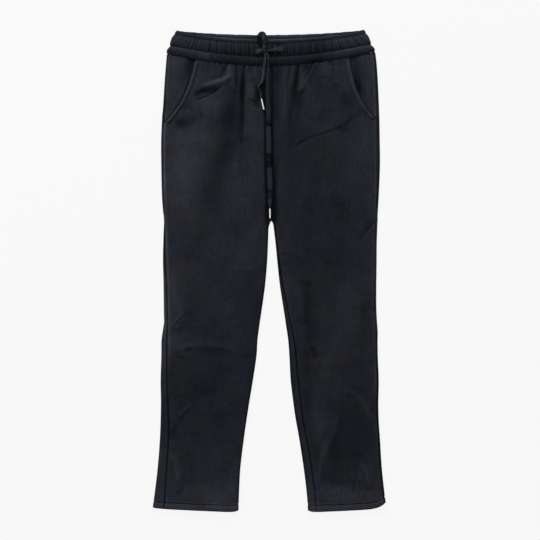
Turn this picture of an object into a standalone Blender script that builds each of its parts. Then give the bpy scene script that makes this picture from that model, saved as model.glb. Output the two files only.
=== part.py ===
"""Ankle-length pull-on trousers with a drawstring, laid flat on their back.

The garment rests on z = 0 with its front up. +Y runs from the hems to the waist, and
sides are the wearer's, so the right leg lies at -X. Each leg is a flattened tube: a
back layer, a rounded fold at each edge, and a front layer on top. Its walls are cut
at the side seam and the inseam. Sizes and tables are in millimetres. "Height" is the
distance up the garment from its lowest hem point, and "across" is the distance from
the middle of the garment towards a leg's own side.
"""
import math
from collections import namedtuple

import bmesh
import bpy
from mathutils import Vector
from mathutils.bvhtree import BVHTree

MM = 0.001
UPWARD = Vector((0.0, 0.0, 1.0))

# Driving sizes.
LENGTH = 1000.0
CROTCH_HEIGHT = 604.0
CENTRE_SEAM = 4.0
CLOTH = 2.4
HEM_CLOTH = 3.2
HEM_DEPTH = 15.0
HEM_INNER_CORNER = 4.0
HEM_DROP = 1.0
LAID_HEIGHT = 8.0
HEM_LAID_HEIGHT = 9.2
SEAM_GAP = 0.3
LYING_GAP = 0.45

# Waist seam, where the panels meet the waistband. It dips between its corners, and its
# left corner stands a little above its right one.
WAIST_HEIGHT = 951.5
WAIST_TILT = 2.1
WAIST_HALF = 215.0
FRONT_DIP = 27.0
BACK_DIP = 10.0
DIP_POWER = 1.2
CROTCH_FOLD = 42.0

# Gathers below the waistband.
GATHER_LIFT = 1.5
GATHER_REACH = 55.0

# Waistband.
BAND_INNER_HEIGHT = 3.2
BAND_FOLD_RADIUS = 2.6
BAND_PUCKER = 0.45
BAND_FRONT_STEPS = 34
BAND_BACK_STEPS = 18
BAND_FOLD_STEPS = 5
BAND_TAPER = 0.027

# Pocket.
FACING_CLOTH = 1.8
FACING_MIDDLE = 4.1
FACING_UNDERLAP = 8.0
FACING_SLOPE = 13.0
POCKET_BAND_WIDTH = 7.6
POCKET_BAND_CLOTH = 1.5

# Drawstring tape and its metal tips.
TAPE_CLOTH = 1.2
TIP_RADIUS = 2.5
TIP_SIDES = 12

Side = namedtuple("Side", "name sign hem_tilt hem_corner pocket")
Station = namedtuple("Station", "height outer inner side_inset inseam_inset")
Fold = namedtuple("Fold", "x1 h1 x2 h2 width lift")
BandLevel = namedtuple("BandLevel", "rise front_dip back_dip front_power back_power right left outward")
Section = namedtuple("Section", "outer inner radius middle inner_angle thickness flat")
RoutePoint = namedtuple("RoutePoint", "x height width")

# The pocket opening runs down from the waist seam and out to the side seam. These are
# the (across, height) points that draw it as one cubic curve.
RIGHT_POCKET = ((154.0, 938.0), (162.0, 890.0), (178.0, 845.0), (219.5, 806.0))
LEFT_POCKET = ((165.9, 941.0), (170.0, 895.0), (184.0, 848.0), (221.0, 815.0))

RIGHT = Side("right", -1, 8.5, 4.0, RIGHT_POCKET)
LEFT = Side("left", 1, 7.0, 8.0, LEFT_POCKET)

# Outline of each leg, and how far the seams lie in from its edges.
STATIONS = {
    "right": (
        Station(12.0, 241.0, 65.0, 23.0, 0.0),
        Station(42.0, 237.5, 63.3, 21.0, 0.0),
        Station(92.0, 231.6, 60.8, 18.0, 0.0),
        Station(158.0, 226.5, 52.4, 19.0, 0.0),
        Station(241.0, 225.0, 40.2, 15.0, 0.0),
        Station(341.0, 223.0, 26.4, 10.5, 0.0),
        Station(407.0, 218.8, 18.3, 8.0, 0.0),
        Station(523.0, 220.5, 5.4, 4.2, 0.0),
        Station(589.0, 219.0, 2.0, 1.0, 0.0),
        Station(656.0, 222.7, -4.0, 3.0, 0.0),
        Station(772.0, 224.4, -4.0, 4.4, 0.0),
        Station(840.0, 221.4, -4.0, 3.0, 0.0),
        Station(896.0, 217.0, -4.0, 0.8, 0.0),
        Station(950.0, 212.6, -4.0, 0.8, 0.0),
    ),
    "left": (
        Station(14.0, 240.6, 80.6, 2.0, 17.0),
        Station(42.0, 237.7, 77.2, 2.0, 17.5),
        Station(92.0, 232.6, 71.2, 2.5, 17.0),
        Station(158.0, 228.5, 61.0, 3.0, 16.0),
        Station(241.0, 226.0, 48.8, 3.0, 14.0),
        Station(341.0, 224.4, 41.4, 3.5, 11.0),
        Station(407.0, 221.9, 32.2, 3.8, 7.5),
        Station(523.0, 222.0, 16.2, 3.8, 3.8),
        Station(589.0, 223.4, 9.2, 3.8, 1.0),
        Station(656.0, 226.5, 4.0, 3.8, 0.0),
        Station(722.0, 229.0, 4.0, 4.0, 0.0),
        Station(822.0, 227.5, 4.0, 4.0, 0.0),
        Station(896.0, 223.6, 4.0, 3.5, 0.0),
        Station(953.0, 218.6, 4.0, 3.0, 0.0),
    ),
}

# The largest folds of the fronts, from one end to the other. x is the garment's own.
FOLDS = (
    Fold(-88.0, 908.0, -140.0, 868.0, 9.0, 1.6),
    Fold(-86.0, 884.0, -138.0, 854.0, 12.0, -1.2),
    Fold(-67.0, 922.0, -66.0, 868.0, 6.0, -1.2),
    Fold(-56.0, 880.0, -138.0, 670.0, 22.0, -1.6),
    Fold(32.0, 922.0, 30.0, 820.0, 8.0, 1.2),
    Fold(62.0, 925.0, 56.0, 840.0, 9.0, -1.3),
    Fold(53.0, 757.0, 194.0, 820.0, 12.0, -1.2),
    Fold(-202.0, 388.0, -166.0, 410.0, 12.0, 1.2),
    Fold(-205.0, 345.0, -40.0, 330.0, 16.0, 1.2),
    Fold(74.0, 350.0, 110.0, 238.0, 9.0, 1.2),
    Fold(143.0, 206.0, 100.0, 54.0, 12.0, 1.5),
    Fold(142.0, 268.0, 214.0, 196.0, 16.0, 1.2),
    Fold(188.0, 100.0, 180.0, 38.0, 9.0, 1.2),
)

# Levels of the waistband from its seam to its top edge: how far its corners stand above
# the seam's, how far its front and back dip between them and how squarely, the
# corners' places, and how far the cloth stands out from the wall's middle.
BAND_LEVELS = (
    BandLevel(0.0, 27.0, 10.0, 1.2, 1.2, 212.6, 218.6, 0.6),
    BandLevel(3.5, 26.5, 9.8, 1.2, 1.1, 213.0, 218.6, 2.4),
    BandLevel(8.0, 25.5, 9.6, 1.2, 1.0, 212.8, 217.8, 3.2),
    BandLevel(12.5, 24.5, 9.5, 1.2, 0.9, 209.6, 214.0, 2.4),
    BandLevel(16.5, 23.6, 9.5, 1.2, 0.8, 206.8, 211.0, 1.2),
    BandLevel(21.5, 23.0, 9.4, 1.1, 0.7, 206.6, 210.4, 2.5),
    BandLevel(29.5, 22.0, 9.4, 1.0, 0.7, 204.4, 207.6, 2.8),
    BandLevel(40.5, 20.6, 9.6, 0.85, 0.6, 198.0, 201.0, 2.4),
    BandLevel(48.3, 20.4, 9.6, 0.75, 0.55, 190.6, 194.6, 1.0),
)
BAND_INNER_OUTLINE = ((8, 1.0), (6, 1.6), (2, 1.6), (0, 1.6))

# The tape's routes, from the knot outwards, with the tape's width at each point.
SHORT_TAIL = (
    RoutePoint(-11.6, 950.0, 3.0), RoutePoint(-9.6, 944.6, 3.4), RoutePoint(-10.6, 934.0, 5.0),
    RoutePoint(-11.6, 926.0, 6.6), RoutePoint(-13.6, 910.0, 6.8), RoutePoint(-15.4, 895.0, 6.4),
    RoutePoint(-21.6, 883.0, 4.4), RoutePoint(-19.6, 873.0, 4.0), RoutePoint(-17.2, 865.0, 5.0),
    RoutePoint(-16.4, 860.6, 4.6),
)
LONG_TAIL = (
    RoutePoint(-6.6, 951.0, 3.6), RoutePoint(-2.2, 944.0, 4.6), RoutePoint(-0.9, 934.0, 6.0),
    RoutePoint(-2.2, 916.0, 6.6), RoutePoint(-3.8, 896.0, 6.6), RoutePoint(-3.3, 870.0, 7.0),
    RoutePoint(-2.2, 834.0, 9.0), RoutePoint(-2.4, 812.0, 10.4), RoutePoint(-2.2, 790.0, 10.6),
    RoutePoint(-1.8, 772.0, 10.8), RoutePoint(-1.4, 740.0, 10.8), RoutePoint(-0.6, 700.0, 10.6),
    RoutePoint(0.3, 670.0, 10.0), RoutePoint(0.9, 646.0, 7.6), RoutePoint(1.2, 632.2, 4.6),
)
RIGHT_LEAD = (
    RoutePoint(-29.5, 957.6, 9.4), RoutePoint(-24.0, 957.4, 9.6), RoutePoint(-17.2, 957.2, 6.6),
)
LEFT_LEAD = (
    RoutePoint(28.0, 959.0, 9.6), RoutePoint(14.0, 958.6, 7.4), RoutePoint(2.0, 958.0, 4.6),
    RoutePoint(-4.6, 957.6, 4.0),
)
LOOP = (
    RoutePoint(-13.4, 963.2, 3.0), RoutePoint(-18.6, 969.0, 3.6), RoutePoint(-22.4, 979.0, 4.0),
    RoutePoint(-21.2, 990.0, 4.2), RoutePoint(-15.8, 995.6, 4.4), RoutePoint(-10.8, 990.0, 4.4),
    RoutePoint(-9.4, 979.0, 4.4), RoutePoint(-9.0, 970.0, 3.6), RoutePoint(-9.2, 963.2, 3.0),
)
KNOT_CENTRE = (-10.9, 957.2)
KNOT_SIZE = (10.6, 10.0, 6.4)
SHORT_TIP = ((-16.3, 859.4), (-11.6, 836.0))
LONG_TIP = ((1.3, 630.8), (1.4, 608.6))


def lerp(start, end, share):
    """Value a share of the way from start to end."""
    return start + (end - start) * share


def smoothstep(share):
    """Ease from 0 to 1 as the share goes from 0 to 1."""
    share = min(1.0, max(0.0, share))
    return share * share * (3.0 - 2.0 * share)


def smooth_value(places, values, place):
    """Value at a place on a smooth curve through the places' values."""
    if place <= places[0]:
        return values[0]
    if place >= places[-1]:
        return values[-1]
    count = len(places)
    index = max(i for i in range(count - 1) if places[i] <= place)
    slopes = []
    for i in (index, index + 1):
        low = max(0, i - 1)
        high = min(count - 1, i + 1)
        slopes.append((values[high] - values[low]) / (places[high] - places[low]))
    step = places[index + 1] - places[index]
    t = (place - places[index]) / step
    start_part = (2 * t ** 3 - 3 * t ** 2 + 1) * values[index]
    end_part = (3 * t ** 2 - 2 * t ** 3) * values[index + 1]
    start_slope = (t ** 3 - 2 * t ** 2 + t) * step * slopes[0]
    end_slope = (t ** 3 - t ** 2) * step * slopes[1]
    return start_part + end_part + start_slope + end_slope


def station_value(side, column, height):
    """One column of a leg's station table at a height."""
    rows = STATIONS[side.name]
    return smooth_value([row.height for row in rows], [getattr(row, column) for row in rows], height)


def waist_height(x, spread, dip, power):
    """Height of a line that runs round the waist, level with the seam at its corners.

    The spread is 0 at the middle of the garment and 1 at its edge, where the dip ends.
    """
    return WAIST_HEIGHT + WAIST_TILT * x / WAIST_HALF - dip * max(0.0, 1.0 - spread * spread) ** power


def hem_height(side, across):
    """Height of the hem, tilted and turned up a little at both corners."""
    tilt = side.hem_tilt * (1.0 - across)
    outer_corner = side.hem_corner * (1.0 - across) ** 12
    inner_corner = HEM_INNER_CORNER * across ** 24
    return tilt + outer_corner + inner_corner - HEM_DROP


def row_height(side, row, across, outline, inner, dip):
    """Height of a row, counted 0 at the hem, 1 at the crotch and 2 at the waist seam."""
    if row <= 1.0:
        share = (outline - across) / (outline - inner)
        return lerp(hem_height(side, share), CROTCH_HEIGHT, row)
    waist = waist_height(side.sign * across, across / outline, dip, DIP_POWER)
    return lerp(CROTCH_HEIGHT, waist - SEAM_GAP / 2, row - 1.0)


def outer_end_height(side, row):
    """Height of a row at a leg's outer edge."""
    return row_height(side, row, WAIST_HALF, WAIST_HALF, 0.0, 0.0)


def inner_end_height(side, row):
    """Height of a row at a leg's inner edge, or at the centre seam above the crotch."""
    return row_height(side, row, 0.0, WAIST_HALF, 0.0, FRONT_DIP)


def fold_relief(x, height):
    """How far the folds lift or lower the front's cloth at a place."""
    relief = 0.0
    for fold in FOLDS:
        run = Vector((fold.x2 - fold.x1, fold.h2 - fold.h1))
        offset = Vector((x - fold.x1, height - fold.h1))
        share = offset.dot(run) / run.length_squared
        apart = abs(run.x * offset.y - run.y * offset.x) / run.length
        ends = smoothstep(share / 0.2 + 0.5) * smoothstep((1.0 - share) / 0.2 + 0.5)
        relief += fold.lift * ends * math.exp(-(apart / fold.width) ** 2)
    return relief


def section_at(side, row):
    """The flattened tube of a leg where a row crosses it."""
    outer_height = outer_end_height(side, row)
    inner_height = inner_end_height(side, row)
    hem_share = 1.0 - smoothstep((outer_height - hem_height(side, 0.0) - HEM_DEPTH) / 3.0)
    thickness = lerp(CLOTH, HEM_CLOTH, hem_share)
    laid = lerp(LAID_HEIGHT, HEM_LAID_HEIGHT, hem_share)
    radius = (laid - thickness) / 2
    outer = station_value(side, "outer", outer_height) - thickness / 2
    if row < 1.0:
        inner_angle = math.pi / 2
        inner = station_value(side, "inner", inner_height) + thickness / 2
    else:
        closed = 1.0 - smoothstep((inner_height - CROTCH_HEIGHT) / CROTCH_FOLD)
        inner_angle = closed * math.pi / 2
        inner = side.sign * CENTRE_SEAM + SEAM_GAP / 2 + thickness / 2 * math.sin(inner_angle)
    flat = outer - radius - inner - radius * math.sin(inner_angle)
    return Section(outer, inner, radius, laid / 2, inner_angle, thickness, flat)


def layer_length(section):
    """Length of one layer of a section, from its outer edge to its inner end."""
    return section.radius * (math.pi / 2 + section.inner_angle) + section.flat


def layer_point(section, reach, up):
    """Across, height above the surface and outward direction, a reach in from the outer edge.

    The layer is a quarter turn at the outer fold, a flat run, and a part turn at the
    inner end. up is 1 for the front layer and -1 for the back layer.
    """
    radius = section.radius
    quarter = radius * math.pi / 2
    if reach < quarter:
        angle = reach / radius
        across = section.outer - radius + radius * math.cos(angle)
        return across, section.middle + up * radius * math.sin(angle), (math.cos(angle), up * math.sin(angle))
    if reach < quarter + section.flat:
        return section.outer - radius - (reach - quarter), section.middle + up * radius, (0.0, up)
    angle = (reach - quarter - section.flat) / radius
    across = section.outer - radius - section.flat - radius * math.sin(angle)
    return across, section.middle + up * radius * math.cos(angle), (-math.sin(angle), up * math.cos(angle))


def inset_reach(section, inset):
    """Reach from an edge of the fold at which the cloth lies an inset in from the outline."""
    outside = section.radius + section.thickness / 2
    if inset < outside:
        return section.radius * math.acos(1.0 - inset / outside)
    return section.radius * math.pi / 2 + inset - outside


def wall_point(side, row, section, reach, up, lift=0.0):
    """One point of a wall as (x, height, z) and its outward direction in x and z."""
    across, z, direction = layer_point(section, reach, up)
    outline = section.outer + section.thickness / 2
    dip = FRONT_DIP if up > 0 else BACK_DIP
    height = row_height(side, row, across, outline, section.inner, dip)
    x = side.sign * across
    if up > 0:
        edge = min(reach, layer_length(section) - reach)
        fade = smoothstep((edge - section.radius * math.pi / 2) / 14.0)
        z += fade * (lift + fold_relief(x, height))
    return Vector((x, height, z)), Vector((side.sign * direction[0], 0.0, direction[1]))


def pocket_point(side, share):
    """(across, height) on the pocket opening, from the waist seam down to the side seam."""
    rest = 1.0 - share
    weights = (rest ** 3, 3 * rest * rest * share, 3 * rest * share * share, share ** 3)
    return tuple(sum(w * point[i] for w, point in zip(weights, side.pocket)) for i in (0, 1))


def pocket_across(side, height):
    """Across position of the pocket opening at a height."""
    low = 0.0
    high = 1.0
    for _ in range(24):
        share = (low + high) / 2
        if pocket_point(side, share)[1] > height:
            low = share
        else:
            high = share
    return pocket_point(side, low)[0]


def pocket_row(side):
    """The row on which the pocket opening meets the side seam."""
    waist = outer_end_height(side, 2.0)
    return 1.0 + (side.pocket[-1][1] - CROTCH_HEIGHT) / (waist - CROTCH_HEIGHT)


def pocket_reach(side, row, section):
    """Reach at which a row of the front crosses the pocket opening."""
    low = 0.0
    high = layer_length(section) / 2
    for _ in range(24):
        reach = (low + high) / 2
        point = wall_point(side, row, section, reach, 1)[0]
        if abs(point.x) > pocket_across(side, point.y):
            low = reach
        else:
            high = reach
    return low


def panel_rows(side):
    """Rows of a leg panel, closer at the hem, the crotch, the pocket and the waist."""
    hem_top = HEM_DEPTH / CROTCH_HEIGHT
    rows = [0.0, hem_top, hem_top + 0.008]
    rows += [lerp(hem_top, 0.975, i / 11) for i in range(1, 12)]
    rows += [0.99, 1.0, 1.03, 1.07, 1.125]
    pocket = pocket_row(side)
    rows += [lerp(1.125, pocket, i / 4) for i in range(1, 5)]
    rows += [lerp(pocket, 2.0, (i / 9) ** 1.1) for i in range(1, 10)]
    return rows


def front_grid(side):
    """Wall points of a front panel, from the side seam or pocket to the inseam or centre."""
    grid = []
    pocket = pocket_row(side)
    columns = 15
    for row in panel_rows(side):
        section = section_at(side, row)
        outer_height = outer_end_height(side, row)
        inner_height = inner_end_height(side, row)
        start = inset_reach(section, station_value(side, "side_inset", outer_height)) + SEAM_GAP / 2
        if row > pocket:
            start = max(start, pocket_reach(side, row, section))
        inset = station_value(side, "inseam_inset", inner_height) if row < 1.0 else 0.0
        end = layer_length(section)
        if row < 1.0:
            end -= inset_reach(section, inset) + SEAM_GAP / 2
        line = []
        below_waist = inner_end_height(side, 2.0) - inner_height
        gather = GATHER_LIFT * smoothstep(1.0 - below_waist / GATHER_REACH)
        for column in range(columns + 1):
            lift = gather * (column % 2)
            reach = lerp(start, end, column / columns)
            line.append(wall_point(side, row, section, reach, 1, lift) + (section.thickness,))
        grid.append(line)
    return grid


def back_grid(side):
    """Wall points of a back panel, from the side seam round the folds to the inseam."""
    grid = []
    for row in panel_rows(side):
        section = section_at(side, row)
        outer_height = outer_end_height(side, row)
        inner_height = inner_end_height(side, row)
        side_reach = inset_reach(section, station_value(side, "side_inset", outer_height)) - SEAM_GAP / 2
        line = []
        for share in (1.0, 0.66, 0.33):
            line.append(wall_point(side, row, section, side_reach * share, 1) + (section.thickness,))
        length = layer_length(section)
        quarter = section.radius * math.pi / 2
        stops = [0.0, quarter / 2, quarter]
        stops += [lerp(quarter, quarter + section.flat, i / 6) for i in range(1, 7)]
        inner_arc = length - quarter - section.flat
        stops += [length - inner_arc * 0.5, length]
        for reach in stops:
            line.append(wall_point(side, row, section, reach, -1) + (section.thickness,))
        if row < 1.0:
            inset = station_value(side, "inseam_inset", inner_height)
            top_reach = inset_reach(section, inset) - SEAM_GAP / 2
            for share in (0.33, 0.66, 1.0):
                line.append(wall_point(side, row, section, length - top_reach * share, 1) + (section.thickness,))
        else:
            line += [line[-1]] * 3
        grid.append(line)
    return grid


def facing_grid(side):
    """Wall points of a pocket facing, dipping from the side seam to under the front."""
    grid = []
    pocket = pocket_row(side)
    for step in range(1, 9):
        row = lerp(pocket, 2.0, step / 8)
        section = section_at(side, row)
        outer_height = outer_end_height(side, row)
        edge = pocket_reach(side, row, section)
        start = inset_reach(section, station_value(side, "side_inset", outer_height)) + SEAM_GAP / 2
        quarter = section.radius * math.pi / 2
        slope = min(FACING_SLOPE, edge - quarter - 1.5)
        if slope < 3.0:
            continue
        reaches = [start, max(start + 0.6, quarter)]
        reaches += [lerp(quarter, quarter + slope, i / 3) for i in range(1, 4)]
        reaches += [lerp(quarter + slope, edge + FACING_UNDERLAP, i / 3) for i in range(1, 4)]
        line = []
        for reach in reaches:
            point, direction = wall_point(side, row, section, reach, 1)
            flat_z = section.middle + section.radius
            dip = smoothstep((reach - quarter) / slope)
            point.z = lerp(min(point.z, flat_z), FACING_MIDDLE, dip)
            line.append((point, direction, FACING_CLOTH))
        grid.append(line)
    return grid


def wall_mesh(name, grid):
    """A closed wall on a grid of (point, direction, thickness)."""
    rows = len(grid)
    columns = len(grid[0])
    mesh = bmesh.new()

    def layer(sign):
        lines = []
        for line in grid:
            lines.append([
                mesh.verts.new(to_world(point + direction * (sign * thickness / 2)))
                for point, direction, thickness in line
            ])
        return lines

    outer = layer(1)
    inner = layer(-1)

    def quad(*corners):
        mesh.faces.new(corners)

    for i in range(rows - 1):
        for j in range(columns - 1):
            quad(outer[i][j], outer[i][j + 1], outer[i + 1][j + 1], outer[i + 1][j])
            quad(inner[i][j], inner[i + 1][j], inner[i + 1][j + 1], inner[i][j + 1])
    for i in range(rows - 1):
        quad(outer[i][0], outer[i + 1][0], inner[i + 1][0], inner[i][0])
        quad(outer[i][-1], inner[i][-1], inner[i + 1][-1], outer[i + 1][-1])
    for j in range(columns - 1):
        quad(outer[0][j], inner[0][j], inner[0][j + 1], outer[0][j + 1])
        quad(outer[-1][j], outer[-1][j + 1], inner[-1][j + 1], inner[-1][j])
    bmesh.ops.remove_doubles(mesh, verts=mesh.verts, dist=0.00001)
    return finish(name, mesh)


def to_world(point):
    """World position in metres of a point given as (x, height, z) in millimetres."""
    return Vector((point[0] * MM, (point[1] - LENGTH / 2) * MM, point[2] * MM))


def finish(name, mesh):
    """Turn a bmesh into a named object with outward, triangulated faces."""
    bmesh.ops.triangulate(mesh, faces=mesh.faces)
    bmesh.ops.recalc_face_normals(mesh, faces=mesh.faces)
    data = bpy.data.meshes.new(name)
    mesh.to_mesh(data)
    mesh.free()
    obj = bpy.data.objects.new(name, data)
    bpy.context.scene.collection.objects.link(obj)
    return obj


def band_stations():
    """Places round the waistband loop as (share across, layer, turn angle).

    The share runs from -1 at the right fold to 1 at the left fold. The turn is 0 on
    the flat front, pi on the flat back, and between them at the folds.
    """
    stations = []
    for i in range(BAND_FRONT_STEPS + 1):
        stations.append((lerp(-1.0, 1.0, i / BAND_FRONT_STEPS), 0.0))
    for i in range(1, BAND_FOLD_STEPS):
        stations.append((1.0, math.pi * i / BAND_FOLD_STEPS))
    for i in range(BAND_BACK_STEPS + 1):
        stations.append((lerp(1.0, -1.0, i / BAND_BACK_STEPS), math.pi))
    for i in range(1, BAND_FOLD_STEPS):
        stations.append((-1.0, math.pi + math.pi * i / BAND_FOLD_STEPS))
    return stations


def band_point(level, share, turn, offset):
    """One point of the waistband, an offset out from the wall's middle."""
    corner = level.left if share > 0 else level.right
    flat_reach = corner - BAND_FOLD_RADIUS - level.outward
    radius = BAND_FOLD_RADIUS + offset
    x = share * flat_reach + radius * math.sin(turn)
    z = BAND_INNER_HEIGHT + BAND_FOLD_RADIUS + radius * math.cos(turn)
    spread = min(1.0, abs(x) / corner)
    if math.cos(turn) > 0:
        height = waist_height(x, spread, level.front_dip, level.front_power)
    else:
        height = waist_height(x, spread, level.back_dip, level.back_power)
    return x, height + level.rise * (1.0 - BAND_TAPER * x / WAIST_HALF), z


def make_waistband():
    """The waistband: one gathered loop with a wide and a narrow channel."""
    mesh = bmesh.new()
    rings = []
    for index, (share, turn) in enumerate(band_stations()):
        flat_front = turn == 0.0 and abs(share) < 0.97
        pucker = BAND_PUCKER * (-1) ** index if flat_front else 0.0
        ring = []
        for number, level in enumerate(BAND_LEVELS):
            lift = pucker if 0 < number < len(BAND_LEVELS) - 1 else 0.0
            x, height, z = band_point(level, share, turn, level.outward + lift)
            if number == 0:
                height += SEAM_GAP / 2
            ring.append(mesh.verts.new(to_world((x, height, z))))
        for number, inward in BAND_INNER_OUTLINE:
            x, height, z = band_point(BAND_LEVELS[number], share, turn, -inward)
            if number == 0:
                height += SEAM_GAP / 2
            ring.append(mesh.verts.new(to_world((x, height, z))))
        rings.append(ring)
    count = len(rings)
    size = len(rings[0])
    for i in range(count):
        ahead = rings[(i + 1) % count]
        for j in range(size):
            k = (j + 1) % size
            mesh.faces.new((rings[i][j], ahead[j], ahead[k], rings[i][k]))
    return finish("waistband", mesh)


def surface_tree(objects):
    """A search tree of the objects' faces."""
    vertices = []
    faces = []
    for obj in objects:
        start = len(vertices)
        vertices += [vertex.co.copy() for vertex in obj.data.vertices]
        faces += [[start + i for i in polygon.vertices] for polygon in obj.data.polygons]
    return BVHTree.FromPolygons(vertices, faces)


def top_of(tree, x, height):
    """Height in millimetres of the topmost surface under a place."""
    start = to_world((x, height, 100.0))
    hit = tree.ray_cast(start, -UPWARD)[0]
    return hit.z / MM if hit else 0.0


def make_pocket_band(side, tree):
    """The narrow band, fuller along its middle, on the front along its pocket opening."""
    grid = []
    steps = 12
    for i in range(steps + 1):
        share = lerp(0.035, 0.955, i / steps)
        here = Vector(pocket_point(side, share))
        ahead = Vector(pocket_point(side, share + 0.01))
        along = (ahead - here).normalized()
        inward = Vector((along.y, -along.x))
        if inward.x > 0:
            inward = -inward
        line = []
        for place, fullness in ((0.04, 0.55), (0.5, 1.0), (0.96, 0.55)):
            spot = here + inward * (POCKET_BAND_WIDTH * place + SEAM_GAP)
            around = [spot + along * step for step in (-5.0, 0.0, 5.0)]
            base = max(top_of(tree, side.sign * point.x, point.y) for point in around)
            full = POCKET_BAND_CLOTH * fullness
            middle = Vector((side.sign * spot.x, spot.y, base + LYING_GAP + full / 2))
            line.append((middle, UPWARD, full))
        grid.append(line)
    return wall_mesh("pocket_band_" + side.name, grid)


def route_samples(route, spacing):
    """Points at an even spacing on a smooth curve through a route, with their widths."""
    lengths = [0.0]
    for here, ahead in zip(route, route[1:]):
        lengths.append(lengths[-1] + math.hypot(ahead.x - here.x, ahead.height - here.height))
    count = max(2, round(lengths[-1] / spacing))
    samples = []
    for i in range(count + 1):
        place = lengths[-1] * i / count
        samples.append(RoutePoint(*(
            smooth_value(lengths, [getattr(point, column) for point in route], place)
            for column in RoutePoint._fields
        )))
    return samples


def across_direction(samples, index):
    """Direction across a tape at one of its samples."""
    before = samples[max(0, index - 1)]
    after = samples[min(len(samples) - 1, index + 1)]
    run = Vector((after.x - before.x, after.height - before.height)).normalized()
    return Vector((-run.y, run.x))


def make_tape(name, route, spacing, tree):
    """A flat tape that lies on the garment along a route."""
    samples = route_samples(route, spacing)
    floor = []
    for index, sample in enumerate(samples):
        across = across_direction(samples, index)
        spots = [across * (sample.width * share) for share in (-0.6, -0.3, 0.0, 0.3, 0.6)]
        floor.append(max(top_of(tree, sample.x + spot.x, sample.height + spot.y) for spot in spots))
    grid = []
    for index, sample in enumerate(samples):
        across = across_direction(samples, index)
        base = max(floor[max(0, index - 1):index + 2]) + LYING_GAP + TAPE_CLOTH / 2
        line = []
        for share in (-0.5, 0.5):
            spot = Vector((sample.x, sample.height)) + across * (sample.width * share)
            line.append((Vector((spot.x, spot.y, base)), UPWARD, TAPE_CLOTH))
        grid.append(line)
    return wall_mesh(name, grid)


def make_knot(tree):
    """The knot: a rounded lump on the front of the waistband."""
    x, height = KNOT_CENTRE
    wide, tall, thick = KNOT_SIZE
    spots = [(x + i * wide / 2, height + j * tall / 2) for i in (-1, 0, 1) for j in (-1, 0, 1)]
    base = max(top_of(tree, *spot) for spot in spots) + LYING_GAP
    mesh = bmesh.new()
    bmesh.ops.create_uvsphere(mesh, u_segments=12, v_segments=8, radius=0.5)
    for vertex in mesh.verts:
        square = vertex.co.copy()
        square.x = math.copysign(abs(2 * square.x) ** 0.8 / 2, square.x)
        square.y = math.copysign(abs(2 * square.y) ** 0.8 / 2, square.y)
        centre = Vector((x, height, base + thick / 2))
        vertex.co = to_world(centre + Vector((square.x * wide, square.y * tall, square.z * thick)))
    return finish("drawstring_knot", mesh)


def make_tip(name, ends, tree):
    """A plain metal tube on the end of a tape, with rounded rims."""
    start = Vector(ends[0])
    end = Vector(ends[1])
    run = end - start
    spots = [start + run * share for share in (0.0, 0.25, 0.5, 0.75, 1.0)]
    base = max(top_of(tree, spot.x + dx, spot.y) for spot in spots for dx in (-TIP_RADIUS, 0.0, TIP_RADIUS))
    centre_z = base + LYING_GAP + TIP_RADIUS
    across = Vector((-run.y, run.x)).normalized()
    rim = 0.5 / run.length
    mesh = bmesh.new()
    rings = []
    for share, radius in ((0.0, 0.85), (rim, 1.0), (1.0 - rim, 1.0), (1.0, 0.85)):
        ring = []
        for i in range(TIP_SIDES):
            angle = 2 * math.pi * i / TIP_SIDES
            spot = start + run * share + across * (math.cos(angle) * TIP_RADIUS * radius)
            z = centre_z + math.sin(angle) * TIP_RADIUS * radius
            ring.append(mesh.verts.new(to_world((spot.x, spot.y, z))))
        rings.append(ring)
    for here, ahead in zip(rings, rings[1:]):
        for i in range(TIP_SIDES):
            j = (i + 1) % TIP_SIDES
            mesh.faces.new((here[i], here[j], ahead[j], ahead[i]))
    mesh.faces.new(rings[0][::-1])
    mesh.faces.new(rings[-1])
    return finish(name, mesh)


def make_material(name, colour, roughness, metallic=0.0):
    """A plain Principled material."""
    material = bpy.data.materials.new(name)
    material.use_nodes = True
    shader = material.node_tree.nodes["Principled BSDF"]
    shader.inputs["Base Color"].default_value = (*colour, 1.0)
    shader.inputs["Roughness"].default_value = roughness
    shader.inputs["Metallic"].default_value = metallic
    return material


def dress(objects, colour, roughness, metallic=0.0):
    """Give each object a material of its own in one colour."""
    for obj in objects:
        obj.data.materials.append(make_material(obj.name, colour, roughness, metallic))


def main():
    """Build every piece of the trousers."""
    for obj in list(bpy.data.objects):
        bpy.data.objects.remove(obj, do_unlink=True)
    cloth = []
    facings = []
    for side in (RIGHT, LEFT):
        cloth.append(wall_mesh("front_panel_" + side.name, front_grid(side)))
        cloth.append(wall_mesh("back_panel_" + side.name, back_grid(side)))
        facings.append(wall_mesh("pocket_facing_" + side.name, facing_grid(side)))
    cloth.append(make_waistband())
    ground = surface_tree(cloth)
    bands = [make_pocket_band(side, ground) for side in (RIGHT, LEFT)]
    tapes = [
        make_tape("drawstring_lead_right", RIGHT_LEAD, 4.0, ground),
        make_tape("drawstring_lead_left", LEFT_LEAD, 6.0, ground),
        make_tape("drawstring_loop", LOOP, 5.0, ground),
        make_tape("drawstring_tail_short", SHORT_TAIL, 6.0, ground),
        make_tape("drawstring_tail_long", LONG_TAIL, 9.0, ground),
        make_knot(ground),
    ]
    tips = [
        make_tip("drawstring_tip_short", SHORT_TIP, ground),
        make_tip("drawstring_tip_long", LONG_TIP, ground),
    ]
    dress(cloth + facings + bands, (0.016, 0.018, 0.023), 0.9)
    dress(tapes, (0.021, 0.023, 0.028), 0.8)
    dress(tips, (0.75, 0.75, 0.73), 0.25, 1.0)


main()
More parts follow.
